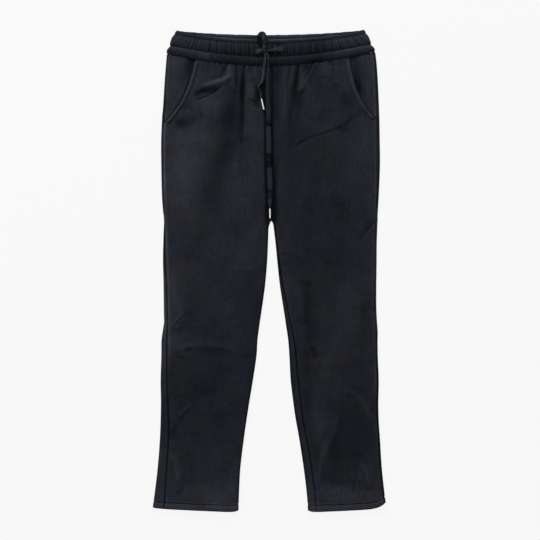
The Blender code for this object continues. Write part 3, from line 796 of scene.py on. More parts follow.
RIGHT_LEG = Leg(
    side=Side.RIGHT, hem_tilt=8, hem_corner=2.2,
    pocket=((154, 938), (162, 890), (178, 845), (219.5, 806)),
    stations=(
        Station(12, 242.2, 64, 24, 0), Station(42, 238.1, 63, 21.5, 0),
        Station(92, 232.2, 60.2, 19, 0), Station(158, 227.3, 52.2, 18.5, 0),
        Station(224, 225.5, 42.4, 15.5, 0), Station(274, 226.1, 34.2, 13.5, 0),
        Station(324, 224.6, 26.8, 12, 0), Station(357, 224.2, 24.7, 11.5, 0),
        Station(374, 221.9, 22.6, 10.2, 0), Station(389, 219.6, 20.6, 9, 0),
        Station(396, 218.8, 19.6, 8.6, 0), Station(407, 219.2, 17.9, 8.4, 0),
        Station(440, 219.6, 13, 7.2, 0), Station(473, 220, 8.7, 6.4, 0),
        Station(523, 221.2, 4.5, 5, 0), Station(575, 220, 2.3, 2.2, 0),
        Station(589, 219.4, 1.8, 1.6, 0), Station(599, 219, -0.8, 1.4, 0),
        Station(604, 219, -3.6, 1.4, 0), Station(612, 219.4, -4, 1.6, 0),
        Station(626, 221.2, -4, 2.2, 0), Station(656, 223.3, -4, 3, 0),
        Station(722, 224.8, -4, 4, 0), Station(772, 225, -4, 4.4, 0),
        Station(822, 222.8, -4, 3.6, 0), Station(840, 221, -4, 3, 0),
        Station(896, 217.6, -4, 0.8, 0), Station(950, 213.2, -4, 0.8, 0),
    ),
    creases=(
        # Side: a painted highlight along the edge of the front panel, beside painted shade at the seam.
        Crease(((-214.6, 925), (-216.4, 880), (-215.4, 845), (-217.8, 800), (-218.6, 761), (-217.4, 678),
            (-216.4, 630)), 1.7, 0.3, 1),
        Crease(((-216.6, 640), (-214.6, 600), (-213.2, 575), (-211, 520), (-209.1, 471), (-208.6, 400),
            (-208.2, 374), (-206.4, 300)), 1.6, 0.3, 0.85),
        Crease(((-218.8, 590), (-218.6, 575), (-217.4, 520), (-216.6, 480)), 1.4, -0.3, -0.4),
        # Hip: a ridge that leaves the waist, turns outwards and sinks into the pocket.
        Crease(((-86, 932), (-82, 912), (-85, 902), (-98, 895), (-121, 888), (-141, 880)), 6, 3.9, 0.5, 0.35),
        Crease(((-158, 857), (-149, 866), (-136, 874), (-117, 875), (-104, 881)), 6.5, -2.6, -0.42, -0.2),
        Crease(((-158, 852), (-140, 858), (-119, 868), (-103, 880), (-92, 886)), 2.6, -1.8, -0.2, -0.3),
        Crease(((-93, 887), (-86, 882), (-78, 873), (-68, 862)), 2.4, -1.7, -0.12, 0.3),
        Crease(((-86, 894), (-80, 893)), 3.5, -1.8, -0.15), Crease(((-94, 925), (-108, 896)), 9, -1, -0.06),
        Crease(((-130, 922), (-134, 896)), 11, -0.7, -0.05), Crease(((-36, 906), (-28, 905)), 9, -0.9, -0.08),
        Crease(((-46, 855), (-38, 854), (-31, 849), (-24, 841), (-18, 836)), 2.6, -2, -0.22, -0.4),
        Crease(((-26, 872), (-26, 852), (-22, 840)), 7, -1.3, -0.16),
        Crease(((-40, 894), (-42, 872), (-42, 846)), 6, 1.5, 0.1),
        # Fly: a trough that the tape lies against, darkened with painted shadow of the tape.
        Crease(((-10, 918), (-9.6, 880), (-9.2, 840), (-8.6, 800), (-8.2, 760), (-7.6, 720), (-6.6, 680),
            (-5, 640)), 2.4, -1.1, -0.75),
        Crease(((-5.6, 700), (-4.6, 670), (-4.4, 640)), 2, -0.6, -0.5),
        # Thigh: long soft valleys.
        Crease(((-54, 905), (-55, 860), (-56, 820), (-57, 780), (-59, 748)), 4.6, -2.2, -0.42, -0.2),
        Crease(((-50, 800), (-56, 762), (-68, 722), (-72, 690)), 8, 1.3, 0.05, 0.2),
        Crease(((-76, 772), (-88, 741), (-108, 700), (-122, 660), (-130, 610)), 22, -2, -0.16, 0.15),
        Crease(((-92, 764), (-70, 760)), 9, -0.9, -0.1),
        Crease(((-130, 826), (-158, 810), (-192, 790)), 12, -1.7, -0.12, 0.2),
        Crease(((-186, 812), (-180, 796)), 9, -1, -0.12),
        Crease(((-176, 846), (-164, 832), (-157, 826)), 3.4, -1.3, -0.12),
        Crease(((-168, 834), (-163, 822), (-160, 806)), 3.4, 1.2, 0.1),
        Crease(((-70, 728), (-70, 700), (-69, 668)), 5.5, 0.8, 0.06),
        Crease(((-52, 712), (-50, 676), (-52, 640)), 7, -0.6, -0.06),
        Crease(((-218, 640), (-213, 626), (-209, 619)), 3, 1.6, 0.1, -0.5),
        Crease(((-214, 628), (-206, 617)), 3, -1.2, -0.1),
        Crease(((-172, 543), (-158, 530), (-143, 515)), 2.4, -0.8, -0.08),
        Crease(((-72, 506), (-52, 503), (-34, 504)), 3.2, 0.9, 0.07),
        Crease(((-56, 513), (-36, 513)), 3.6, -0.9, -0.08),
        Crease(((-198, 500), (-198, 475), (-192, 430)), 6, 1.1, 0.09),
        Crease(((-180, 492), (-184, 450), (-176, 418)), 8, -0.7, -0.05),
        Crease(((-34, 500), (-38, 452), (-42, 420)), 9, -0.9, -0.1),
        # Knee: a three-cornered dent under the side seam, and the fold below it.
        Crease(((-174, 414), (-180, 409), (-188, 402), (-196, 392), (-202, 379)), 7, 2.2, 0.1, 0.8),
        Crease(((-171, 412), (-179, 405), (-187, 397), (-194, 387), (-199, 376)), 3, -1.7, -0.2, -0.5),
        Crease(((-171, 414), (-164, 406), (-156, 398), (-150, 388)), 4, -1.3, -0.1, 0.5),
        Crease(((-186, 384), (-178, 366)), 14, -1.1, -0.08),
        Crease(((-206, 331), (-186, 336), (-166, 344), (-138, 346), (-104, 342),
            (-74, 333), (-58, 325)), 6, 1.5, 0.08, 0.5),
        Crease(((-190, 322), (-182, 319), (-174, 320)), 3, -1.3, -0.16),
        Crease(((-175, 333), (-165, 335), (-155, 334)), 3.2, -1.3, -0.16),
        Crease(((-150, 332), (-118, 331), (-84, 322)), 7, -1, -0.1),
        Crease(((-86, 402), (-74, 392)), 12, -0.9, -0.08),
        Crease(((-221, 409), (-215, 399), (-210, 394)), 3.6, -2, -0.16),
        Crease(((-220, 391), (-219, 372)), 4, 1.4, 0.16), Crease(((-224, 355), (-215, 353)), 2.4, -1.2, -0.12),
        Crease(((-48, 328), (-42, 318)), 8, -0.9, -0.08),
        # Shin.
        Crease(((-190, 194), (-182, 204), (-173, 213), (-160, 226)), 3.6, 1.6, 0.24, 0.3),
        Crease(((-176, 262), (-190, 240)), 9, 0.9, 0.05),
        Crease(((-204, 158), (-196, 168), (-188, 184), (-178, 200)), 7, -1.6, -0.14),
        Crease(((-198, 200), (-192, 180)), 6, 0.8, 0.07),
        Crease(((-204, 124), (-200, 112), (-194, 98), (-190, 78), (-190, 60)), 7, 1.9, 0.32, 0.3),
        Crease(((-180, 82), (-176, 60), (-184, 40), (-198, 34)), 6.5, -1.5, -0.14),
        Crease(((-112, 206), (-104, 186)), 11, -1, -0.1),
        Crease(((-80, 106), (-88, 88), (-102, 74)), 11, -1.2, -0.14, -0.3),
        Crease(((-80, 278), (-60, 268)), 4, 0.7, 0.05), Crease(((-136, 110), (-132, 80), (-140, 62)), 9, -0.8, -0.05),
        Crease(((-66, 150), (-64, 96), (-68, 50)), 8, -0.7, -0.05),
        Crease(((-160, 258), (-128, 246), (-104, 252)), 10, -1, -0.1),
    ),
    patches=(
        # Hip and thigh.
        Patch(-120, 760, 120, 150, 0.8), Patch(-175, 712, 42, 68, 0.9, 0.38), Patch(-160, 778, 42, 17, 0.3, 0.22),
        Patch(-190, 905, 26, 50, 0, 0.1), Patch(-80, 832, 21, 46, -0.6, -0.42), Patch(-67, 898, 11, 34, -0.3, -0.2),
        Patch(-57, 890, 7, 36, -0.4, -0.32), Patch(-33, 896, 9, 8, -0.3, -0.3), Patch(-38, 873, 5, 14, 0.4, 0.28),
        Patch(-80, 902, 6, 8, 0.5, 0.42), Patch(-133, 871, 12, 4, -0.4, -0.34),
        Patch(-112, 900, 12, 5, -0.3, -0.26, 20), Patch(-108, 846, 22, 18, 0.4, 0.18),
        Patch(-98, 738, 20, 30, -0.2, -0.14), Patch(-100, 700, 20, 56, -0.2, -0.1),
        # The dark patches between x = -4 and x = -26 are painted shadow of the tape, its tails and its tip.
        Patch(-130, 838, 30, 24, 0.9, 0.16), Patch(-36, 790, 20, 60, 0.4, 0.06), Patch(-14, 884, 6, 34, 0, -0.5),
        Patch(-25.5, 876, 4.5, 9, -0.2, -0.45), Patch(-26, 856, 6, 10, -0.1, -0.3), Patch(-19, 868, 8, 14, 0, -0.35),
        Patch(-13, 868, 5, 14, -0.2, -0.3), Patch(-4, 624, 5.5, 28, 0, -0.8), Patch(-7.5, 710, 2.6, 84, 0, -0.5),
        Patch(-190, 630, 26, 30, 0, 0.1), Patch(-130, 550, 110, 120, 0, -0.06), Patch(-135, 590, 22, 40, 0, -0.06),
        Patch(-40, 600, 40, 120, 0.4, 0.04), Patch(-178, 806, 22, 12, 0, -0.14, 20),
        Patch(-138, 612, 26, 30, 0, -0.12), Patch(-170, 560, 28, 20, 0, 0.12), Patch(-172, 645, 34, 26, 0, 0.1),
        Patch(-136, 808, 14, 30, 0, 0.14), Patch(-190, 806, 12, 14, 0, -0.16),
        # Knee.
        Patch(-217, 320, 6, 60, 0, 0.26), Patch(-30, 452, 18, 50, 0, -0.16, 8), Patch(-202, 452, 20, 64, 0, 0.2),
        Patch(-88, 440, 18, 42, 0.3, 0.12), Patch(-60, 418, 22, 38, -0.3, -0.12), Patch(-198, 356, 22, 46, 0.4, 0.24),
        Patch(-150, 380, 60, 50, -0.4, -0.12, 20), Patch(-128, 292, 110, 52, 0.4, -0.26),
        Patch(-127, 284, 24, 18, 0.2, 0.1), Patch(-74, 254, 24, 28, 0.2, 0.16), Patch(-120, 238, 78, 26, -0.5, -0.1),
        # Shin and hem.
        Patch(-150, 160, 90, 80, 0.5, -0.16), Patch(-112, 108, 74, 34, 0, 0.1), Patch(-129, 114, 18, 14, 0, -0.12),
        Patch(-69, 202, 20, 26, 0, -0.14), Patch(-198, 160, 14, 9, -0.2, -0.2), Patch(-186, 448, 14, 40, 0.2, 0.14),
        Patch(-106, 36, 74, 20, 1.1, 0.46), Patch(-90, 14, 50, 9, 0.2, 0.25), Patch(-193, 52, 14, 14, 0, 0.1),
        Patch(-160, 74, 12, 32, 0, -0.2), Patch(-100, 42, 40, 24, 0, 0.15), Patch(-76, 70, 26, 24, 0.3, 0.18),
        Patch(-232, 60, 16, 70, 0, 0.12), Patch(-214, 205, 12, 60, 0, -0.16), Patch(-154, 188, 34, 22, 0, -0.08),
        Patch(-90, 800, 26, 38, 0, -0.1), Patch(-190, 690, 22, 32, 0, 0.1), Patch(-145, 430, 50, 14, 0, 0.09),
        Patch(-204, 405, 13, 16, 0, 0.12), Patch(-216, 290, 10, 44, 0, 0.13), Patch(-56, 348, 11, 20, 0, 0.12),
        Patch(-40, 482, 10, 32, 0, 0.14), Patch(-134, 472, 34, 40, 0, -0.08), Patch(-146, 916, 8, 24, 0, 0.12),
        Patch(-48, 900, 5, 28, 0, -0.16), Patch(-35, 868, 5, 18, 0, 0.16),
    ),
    gathers=(
        (-126, 22, 4.5, 0.7, 0.1), (-114, 30, 3.6, 0.9, 0.2), (-101, 24, 4, 0.8, 0.3),
        (-87, 38, 3, 1.7, -0.45), (-74.5, 26, 3, 0.8, 0), (-68.2, 74, 2, 2.6, 0),
        (-59, 24, 2.4, 0.6, 0), (-52, 88, 2.6, 2.4, -0.06), (-41, 20, 2.6, 1.7, 0),
        (-33.5, 20, 2.4, 1.4, -0.2), (-23.5, 30, 2.6, 1.6, 0.1), (-14.5, 28, 3, 1, 0),
        (-4.5, 26, 2.6, 0.9, 0),
    ),
    facing_dips=((800, 3), (870, 4), (900, 7), (915, 15), (940, 27)),
    facing_shade=(934, 0.3),
)

LEFT_LEG = Leg(
    side=Side.LEFT, hem_tilt=7.4, hem_corner=13.5,
    pocket=((165.9, 941), (170, 895), (184, 848), (221, 815)),
    stations=(
        Station(14, 241.8, 79.4, 2, 17), Station(42, 238.6, 76.9, 2, 17.5),
        Station(92, 233.3, 70.8, 2.5, 17), Station(158, 229.1, 60.6, 3, 16),
        Station(190, 226.9, 54.8, 3, 15.4), Station(224, 226.1, 49.8, 3, 15.6),
        Station(274, 226.9, 43.9, 3.2, 16), Station(324, 225, 41.2, 3.4, 13.6),
        Station(357, 224.6, 38.7, 3.5, 12.4), Station(374, 224.8, 36.3, 3.6, 11.6),
        Station(407, 222.6, 31.4, 3.8, 9.2), Station(440, 221.8, 26.2, 3.8, 7.8),
        Station(473, 222, 21.2, 3.8, 6.6), Station(523, 222.6, 15.9, 3.8, 3.8),
        Station(556, 222.8, 12.7, 3.8, 2), Station(589, 223.9, 8.8, 3.8, 1),
        Station(599, 224.3, 7.1, 3.8, 0.8), Station(604, 224.6, 4.6, 3.8, 0.6),
        Station(618, 224.8, 4, 3.8, 0), Station(656, 227, 4, 3.8, 0),
        Station(722, 229.5, 4, 4, 0), Station(772, 229, 4, 4, 0),
        Station(822, 228.1, 4, 4, 0), Station(888, 225.4, 4, 3.5, 0),
        Station(920, 223.4, 4, 3.2, 0), Station(938, 221.8, 4, 3, 0),
        Station(953, 219.8, 4, 3, 0),
    ),
    creases=(
        # Side: a painted highlight that follows the side seam, with a line of painted shade outside it.
        Crease(((218.6, 950), (218, 900), (217.8, 844), (217.8, 761), (219.4, 700), (220.4, 640), (221.4, 575),
            (218.4, 500), (218, 471), (219.8, 374), (221, 264), (223.4, 160), (226, 110)), 1.7, 0.3, 0.42),
        Crease(((221.8, 890), (221.8, 844), (221.4, 761), (223, 700), (224, 660)), 1.5, -0.3, -0.34),
        # Hip: deep gathers beside the fly, then one long crease up to the pocket.
        Crease(((60, 930), (56, 902), (52, 876), (47, 846), (43, 812), (42, 786)), 6, -2.3, -0.2, 0.15),
        Crease(((64, 872), (68, 850), (70, 836)), 6, -1.2, -0.12),
        Crease(((33, 922), (33, 890), (33, 858), (32, 826), (30, 800)), 5, 1.9, 0.12),
        Crease(((95, 929), (86, 914), (78, 899), (69, 882), (62, 868)), 5, 2.8, 0.44, -0.7),
        Crease(((89, 925), (81, 910), (73, 895), (65, 878)), 3.4, -1.7, -0.2, 0.4),
        Crease(((79, 877), (70, 870), (62, 863)), 2.3, -1.3, -0.14),
        Crease(((199, 826), (183, 820), (170, 813), (158, 802), (144, 795), (126, 788), (102, 781), (78, 772),
            (60, 761), (50, 753)), 2, -1.4, -0.08, -0.3),
        Crease(((196, 838), (170, 826), (152, 813), (124, 799), (98, 790), (72, 782)), 12, 1.5, 0.05),
        Crease(((74, 770), (62, 763), (54, 757)), 3, -1.1, -0.14), Crease(((105, 905), (104, 872)), 9, -1.1, -0.12),
        Crease(((126, 902), (130, 888)), 7, -0.7, -0.07), Crease(((142, 888), (130, 868)), 9, -1.3, -0.13),
        Crease(((152, 868), (166, 842)), 10, -1.4, -0.14), Crease(((132, 930), (131, 906)), 3.6, -1.1, -0.12),
        Crease(((118, 926), (120, 900)), 6, 0.9, 0.06), Crease(((100, 850), (112, 826)), 12, 0.9, 0.06),
        Crease(((14, 905), (14, 850), (17, 800)), 6, -1, -0.1), Crease(((128, 836), (134, 800)), 10, -0.7, -0.06),
        Crease(((24, 760), (26, 700), (22, 650)), 8, 0.8, 0.03),
        # Thigh.
        Crease(((88, 652), (80, 636), (72, 620)), 12, -1.1, -0.1),
        Crease(((126, 662), (134, 650), (146, 640), (150, 616), (138, 596)), 12, -1.1, -0.1, 0.2),
        Crease(((128, 631), (146, 634), (166, 639)), 2.4, -0.7, -0.06),
        Crease(((116, 690), (118, 640), (122, 610)), 7, 0.8, 0.06),
        Crease(((186, 562), (192, 569), (201, 581), (212, 594), (222, 605)), 3.2, -1.7, -0.2, 0.35),
        Crease(((182, 578), (196, 598), (212, 612)), 9, 1, -0.04),
        Crease(((200, 660), (210, 654), (218, 642), (222, 632)), 3, -0.7, -0.05),
        Crease(((68, 540), (96, 546), (126, 543)), 7, -0.9, -0.08),
        Crease(((22, 536), (30, 534), (40, 529)), 2.4, -0.9, -0.09),
        Crease(((114, 522), (132, 513), (150, 512)), 6, -0.8, -0.07), Crease(((96, 700), (100, 668)), 9, -0.6, -0.06),
        # Knee: a fold beside the inseam that splits in two, and a wide soft rise.
        Crease(((56, 480), (68, 474), (84, 471), (94, 473)), 4, -0.9, -0.1),
        Crease(((78, 484), (80, 450), (79, 410), (77, 372)), 9, -1.5, -0.1, -0.6),
        Crease(((62, 470), (64, 432), (62, 396)), 8, 1.5, 0.07, 0.5),
        Crease(((72, 366), (78, 348), (84, 330), (91, 311)), 3.2, 1.5, 0.1, 0.2),
        Crease(((92, 346), (93, 332), (98, 316)), 7, -1.9, -0.2, -0.3),
        Crease(((74, 340), (78, 310), (80, 280)), 7, -1.7, -0.18), Crease(((74, 394), (68, 386)), 3, -1, -0.1),
        Crease(((160, 466), (160, 420), (152, 374), (140, 340)), 17, 1.2, 0.02, 0.1),
        Crease(((190, 432), (202, 398), (196, 360), (172, 336)), 17, -1.3, -0.12),
        Crease(((214, 416), (210, 396)), 6, 0.8, 0.08), Crease(((146, 478), (152, 484)), 5, -0.7, -0.08),
        Crease(((118, 322), (122, 290), (116, 270)), 13, 1.2, 0.07),
        # Shin: a long ridge, a hollow beside it, and a star of creases over the hem.
        Crease(((86, 282), (94, 266), (101, 250), (106, 232)), 4.4, 1.5, 0.1, 0.3),
        Crease(((92, 236), (98, 210), (104, 182)), 8, 1, 0.06),
        Crease(((147, 216), (143, 196), (135, 168), (125, 144), (114, 122),
            (107, 98), (102, 68), (100, 46)), 5, 2, 0.08, 0.55),
        Crease(((124, 178), (116, 158), (106, 138), (98, 112), (94, 92)), 4, -1, -0.06),
        Crease(((150, 190), (146, 160), (134, 130), (122, 96), (116, 70)), 15, -1.6, -0.1, -0.3),
        Crease(((152, 262), (172, 248), (190, 232), (206, 208), (220, 180)), 7, 1.8, 0.2, -0.5),
        Crease(((158, 244), (174, 230), (188, 212)), 9, -1.3, -0.1, 0.3),
        Crease(((163, 108), (172, 113), (182, 116), (192, 114), (198, 106), (202, 94)), 4.4, -1.5, -0.05),
        Crease(((188, 106), (196, 88), (203, 68), (208, 46)), 4.6, 1.8, 0.14),
        Crease(((196, 84), (201, 62), (206, 36)), 3, -1.5, -0.16),
        Crease(((186, 80), (182, 58), (177, 32)), 3.2, 1.2, 0.1),
        Crease(((182, 86), (178, 60), (173, 32)), 2.8, -1.2, -0.14),
        Crease(((192, 76), (192, 50), (194, 30)), 3, 1, 0.08),
        Crease(((150, 106), (166, 98), (178, 100)), 5, 0.9, 0.05),
        Crease(((222, 92), (214, 62), (212, 40)), 6, -1.1, -0.12),
        Crease(((110, 74), (124, 62), (140, 56), (164, 58)), 8, -1.1, -0.1, 0.4),
        Crease(((112, 42), (128, 34), (140, 30)), 5, -0.9, -0.1),
        Crease(((74, 254), (80, 226), (86, 206)), 9, -1.1, -0.12), Crease(((86, 168), (82, 130)), 6, -0.8, -0.07),
    ),
    patches=(
        # Hip and thigh.
        # The dark patches between x = 1 and x = 14 are painted shade in the centre seam beside the tape, and painted
        # shadow of the tape and its tip.
        Patch(110, 760, 150, 210, 0.7, -0.15), Patch(8, 858, 9, 74, 0, -0.24), Patch(14, 720, 13, 90, 0, -0.1),
        Patch(6, 760, 2.8, 160, -0.6, -0.6), Patch(9, 664, 5.5, 64, 0, -0.6), Patch(1, 604, 8, 8, 0, -0.7),
        Patch(8, 622, 6, 26, 0, -0.75), Patch(57, 852, 9, 44, -0.4, -0.28), Patch(43, 772, 8, 40, -0.2, -0.16),
        Patch(84, 923, 15, 10, -0.3, -0.46), Patch(14, 906, 10, 14, -0.2, -0.24), Patch(130, 922, 28, 8, 0.3, 0.2),
        Patch(94, 838, 14, 28, 0.3, 0.18), Patch(160, 830, 16, 24, -0.2, -0.18), Patch(210, 655, 14, 34, 0, 0.2),
        Patch(192, 812, 14, 9, 0.2, 0.2), Patch(151, 794, 13, 6, -0.4, -0.36, -18), Patch(108, 820, 20, 20, 0, -0.12),
        Patch(166, 692, 46, 92, 0.4, 0.19), Patch(178, 735, 14, 34, 0, 0.1), Patch(94, 700, 22, 50, -0.2, -0.12),
        Patch(196, 760, 24, 40, 0.6, 0.07), Patch(99, 565, 28, 20, 0.2, 0.12), Patch(168, 582, 26, 34, 0.2, 0.11),
        Patch(150, 590, 110, 120, 0, -0.14),
        # Knee.
        Patch(96, 475, 46, 70, 0, -0.13), Patch(84, 410, 14, 58, -0.2, -0.18), Patch(156, 405, 30, 66, 1, -0.04),
        Patch(201, 390, 20, 62, -0.8, -0.08), Patch(92, 330, 40, 60, -0.6, -0.12),
        Patch(80, 357, 12, 26, -0.2, -0.18), Patch(190, 308, 24, 26, 0, -0.15), Patch(57, 334, 6, 22, 0, -0.2),
        Patch(72, 197, 8, 22, 0, -0.18),
        # Shin and hem.
        Patch(120, 270, 90, 60, 0.3, -0.13), Patch(115, 272, 30, 44, 0.2, 0.16),
        Patch(107, 162, 15, 62, 0.5, 0.34, 6), Patch(150, 168, 26, 32, 0.2, 0.13), Patch(178, 150, 52, 84, -1, -0.2),
        Patch(160, 262, 20, 22, 0, -0.1), Patch(145, 187, 7, 16, 0, -0.12), Patch(193, 46, 16, 10, 0, -0.12),
        Patch(138, 122, 54, 58, -0.6, -0.24), Patch(100, 190, 44, 60, 0.2, -0.1), Patch(198, 76, 26, 34, 0.3, 0.22),
        Patch(150, 34, 84, 17, 1, 0.46), Patch(130, 44, 40, 12, 0.3, 0.18), Patch(205, 30, 40, 14, 0.5, 0.2),
        Patch(92, 16, 13, 16, 0, 0.45), Patch(142, 44, 24, 16, 0, 0.2), Patch(28, 905, 14, 42, 0, -0.12),
        Patch(77, 884, 9, 14, 0, 0.3), Patch(82, 906, 8, 15, 0, -0.24), Patch(105, 922, 14, 14, 0, 0.1),
        Patch(198, 803, 16, 14, 0, 0.1), Patch(141, 590, 30, 40, 0, -0.08), Patch(63, 556, 40, 50, 0, -0.08),
        Patch(105, 550, 26, 8, 0, 0.13), Patch(219, 533, 7, 44, 0, 0.18), Patch(74, 450, 26, 50, 0, -0.1),
        Patch(177, 430, 26, 32, 0, 0.1), Patch(182, 197, 36, 20, 0, -0.16), Patch(207, 140, 17, 36, 0, -0.12),
        Patch(185, 106, 14, 14, 0, -0.16), Patch(74, 190, 10, 28, 0, -0.1), Patch(57, 322, 8, 60, 0, -0.1),
        Patch(74, 140, 9, 28, 0, 0.12), Patch(117, 108, 8, 24, 0, 0.12),
    ),
    gathers=(
        (7, 34, 2.6, 1.1, 0), (16, 30, 2.4, 1.2, -0.06), (25, 26, 2.2, 0.9, -0.2),
        (44, 44, 2.4, 1.5, -0.15), (51, 22, 2.4, 0.8, 0), (60, 74, 3.8, 2.3, -0.12),
        (70, 24, 2.4, 1, 0), (77, 24, 2.4, 1, -0.1), (90, 46, 3, 1.2, -0.5),
        (106, 20, 3.4, 0.5, 0), (126, 16, 3, 1.4, 0), (132.5, 26, 2.6, 1.2, 0),
        (148, 18, 3.4, 0.5, 0),
    ),
    facing_dips=((800, 3), (855, 5), (880, 15), (905, 24), (945, 32)),
    facing_shade=(878, 0.5),
)


# ---------------------------------------------------------------- leg panels

@dataclass
class LegPanels:
    """The cloth pieces of one leg: front, back, pocket facing and pocket band.

    Attributes:
        leg: the leg they make.
        spacing: grid spacing of the front.
        back_spacing: grid spacing of the back.
        seam_roll: radius with which the cloth rolls into its seams.
        underlap: how far the facing runs on under the front.
        facing_cloth: thickness of the facing.
        band_width: width of the pocket band.
        pieces: the finished objects by name.
    """

    leg: Leg
    spacing: float = 2.2
    back_spacing: float = 3.0
    seam_roll: float = 1.9
    underlap: float = 8.0
    facing_cloth: float = 1.8
    band_width: float = 7.6
    pieces: dict[str, bpy.types.Object] = field(default_factory=dict)

    def hem_shape(self, row: Array, height: Array) -> tuple[Array, Array]:
        """Groove of the hem's stitching and the puffs between its stitches.

        Formula: a bell 1.2 mm wide and 1.0 mm deep along the stitch line, 13.7 mm up
        from the edge, and a slight crown below it. The edge itself rolls under.
        """
        above = row * CROTCH_HEIGHT
        groove = -1.0 * bell(above, 13.7, 1.2)
        crown = 0.45 * np.sin(math.pi * np.clip(above / 13.0, 0.0, 1.0))
        edge = -roll(above, 1.6)
        # The tone colours the strip below the stitching lighter, and paints shade in the stitch groove and along the
        # rolled edge.
        tone = 0.42 * ease((13.0 - above) / 2.0) - 0.35 * bell(above, 13.9, 1.2) - 0.6 * bell(above, 0.0, 1.6)
        return groove + crown + edge, np.broadcast_to(tone, height.shape)

    def wall(
        self, name: str, row: Array, section: Section, reach: Array, edge: Array, seam: Array,
    ) -> bpy.types.Object:
        """Build one panel of the tube.

        Args:
            name: the piece's name.
            row: its rows, as a column.
            section: the leg's tube at the rows.
            reach: rows by columns of reaches.
            edge: distance of each grid point from the nearer fold or centre seam.
            seam: distance of each grid point from the nearer seam.

        Returns:
            The panel.
        """
        point, direction, up = self.leg.surface(row, section, reach)
        x, height = point[..., 0], point[..., 1]
        rolls = roll(seam, self.seam_roll)
        relief, tone = self.leg.front_field(x, height, edge)
        under, under_tone = self.under_field(x, height, edge)
        front = up > 0
        hem, hem_tone = self.hem_shape(row, height)
        below = np.where(front, -2.6, 0.0)
        rise = np.where(front, np.maximum(relief, below), 0.0)
        half = section.thickness / 2
        outer_rise = hem * np.where(row < 0.2, 1.0, 0.0) - rolls
        outer = point + direction * (half + np.where(front, outer_rise, np.minimum(outer_rise, 0.0)))[..., None]
        inner = point - direction * half[..., None]
        outer[..., 2] += rise + np.where(front, 0.0, under)
        inner[..., 2] += rise
        outer[..., 2] = np.maximum(outer[..., 2], 0.0)
        inner[..., 2] = np.where(front, inner[..., 2], np.maximum(inner[..., 2], outer[..., 2] + 0.8))
        puff = 0.22 * np.sin(2 * math.pi * (height / 9.0 + 0.4 * wander(height, 60.0, 3))) * bell(seam, 0.0, 3.0)
        outer[..., 2] += np.where(front, puff, 0.0)
        tone = np.where(front, tone, under_tone) + np.where(row < 0.2, hem_tone, 0.0)
        # Painted shade along the seams, and painted light on the cloth rolled just beside them.
        tone = tone - 0.62 * bell(seam, 0.0, 1.5) + 0.16 * bell(seam, 4.0, 1.6)
        tone = tone + self.outline_tone(row, section, x)
        uv = np.stack([reach, np.broadcast_to(height, reach.shape)], axis=-1) * MM
        return closed_wall(self.piece_name(name), outer, inner, uv, tone, weld=True)

    def outline_tone(self, row: Array, section: Section, x: Array) -> Array:
        """Tone of the folds: painted shade at both edges, and painted light a little in from the outer one.

        Formula: bells of the distance in from the outline, the pale one above the knee.
        """
        across = np.abs(x)
        outer = np.maximum(section.outline - across, 0.0)
        inner = np.where(row < 1.0, np.maximum(across - (section.inner - section.thickness / 2), 0.0), UNTOUCHED)
        dark = -0.45 * bell(outer, 0.0, 1.4) - 0.75 * bell(inner, 0.0, 3.4)
        # Painted light near the outer edge, above the knee.
        painted_light_tone = 0.14 * bell(outer, 0.0, 14.0) + 0.22 * bell(outer, 4.5, 3.2)
        return dark + painted_light_tone * ease((row - 0.45) / 0.2)

    def under_field(self, x: Array, height: Array, edge: Array) -> tuple[Array, Array]:
        """Shallow dents of the underside, which is flat where it rests.

        Formula: the cloth only ever rises from the surface it lies on, by up to a
        millimetre, where two slow waves both rise, with a few named folds.
        """
        slow = wander(height + 0.5 * x, 210.0, 21) + wander(x - 0.4 * height, 150.0, 22)
        fine = wander(height - 0.8 * np.abs(x), 64.0, 23)
        rise = 0.9 * ease(slow / 1.3 - 0.15) + 0.25 * ease(fine)
        fade = ease((edge - 6.0) / 16.0)
        folds, tone = crease_field(x, height, UNDERSIDE_CREASES)
        return fade * np.clip(rise + folds, 0.0, 1.1), 0.05 * slow * fade + tone

    def build_front(self) -> bpy.types.Object:
        """The front panel, from the side seam or the pocket opening to the inseam or centre seam."""
        row = panel_rows(1.5, self.spacing)
        section = self.leg.section(row)
        layer = section.layer
        start = self.leg.side_reach(row, section) + SEAM_GAP / 2
        pocket = self.leg.pocket_reach(row, section)
        start = np.where(row > self.leg.pocket_row, np.maximum(start, pocket), start)
        inseam = self.leg.inseam_reach(row, section)
        end = layer - np.where(row < 1.0, inseam + SEAM_GAP / 2, 0.0)
        reach = edged_columns(start, end, (0.0, 0.5, 1.0, 1.6, 2.4, 3.6), 84)
        edge = np.minimum(reach, layer - reach)
        return self.wall("front_panel", row, section, -reach, edge, np.minimum(reach - start, end - reach))

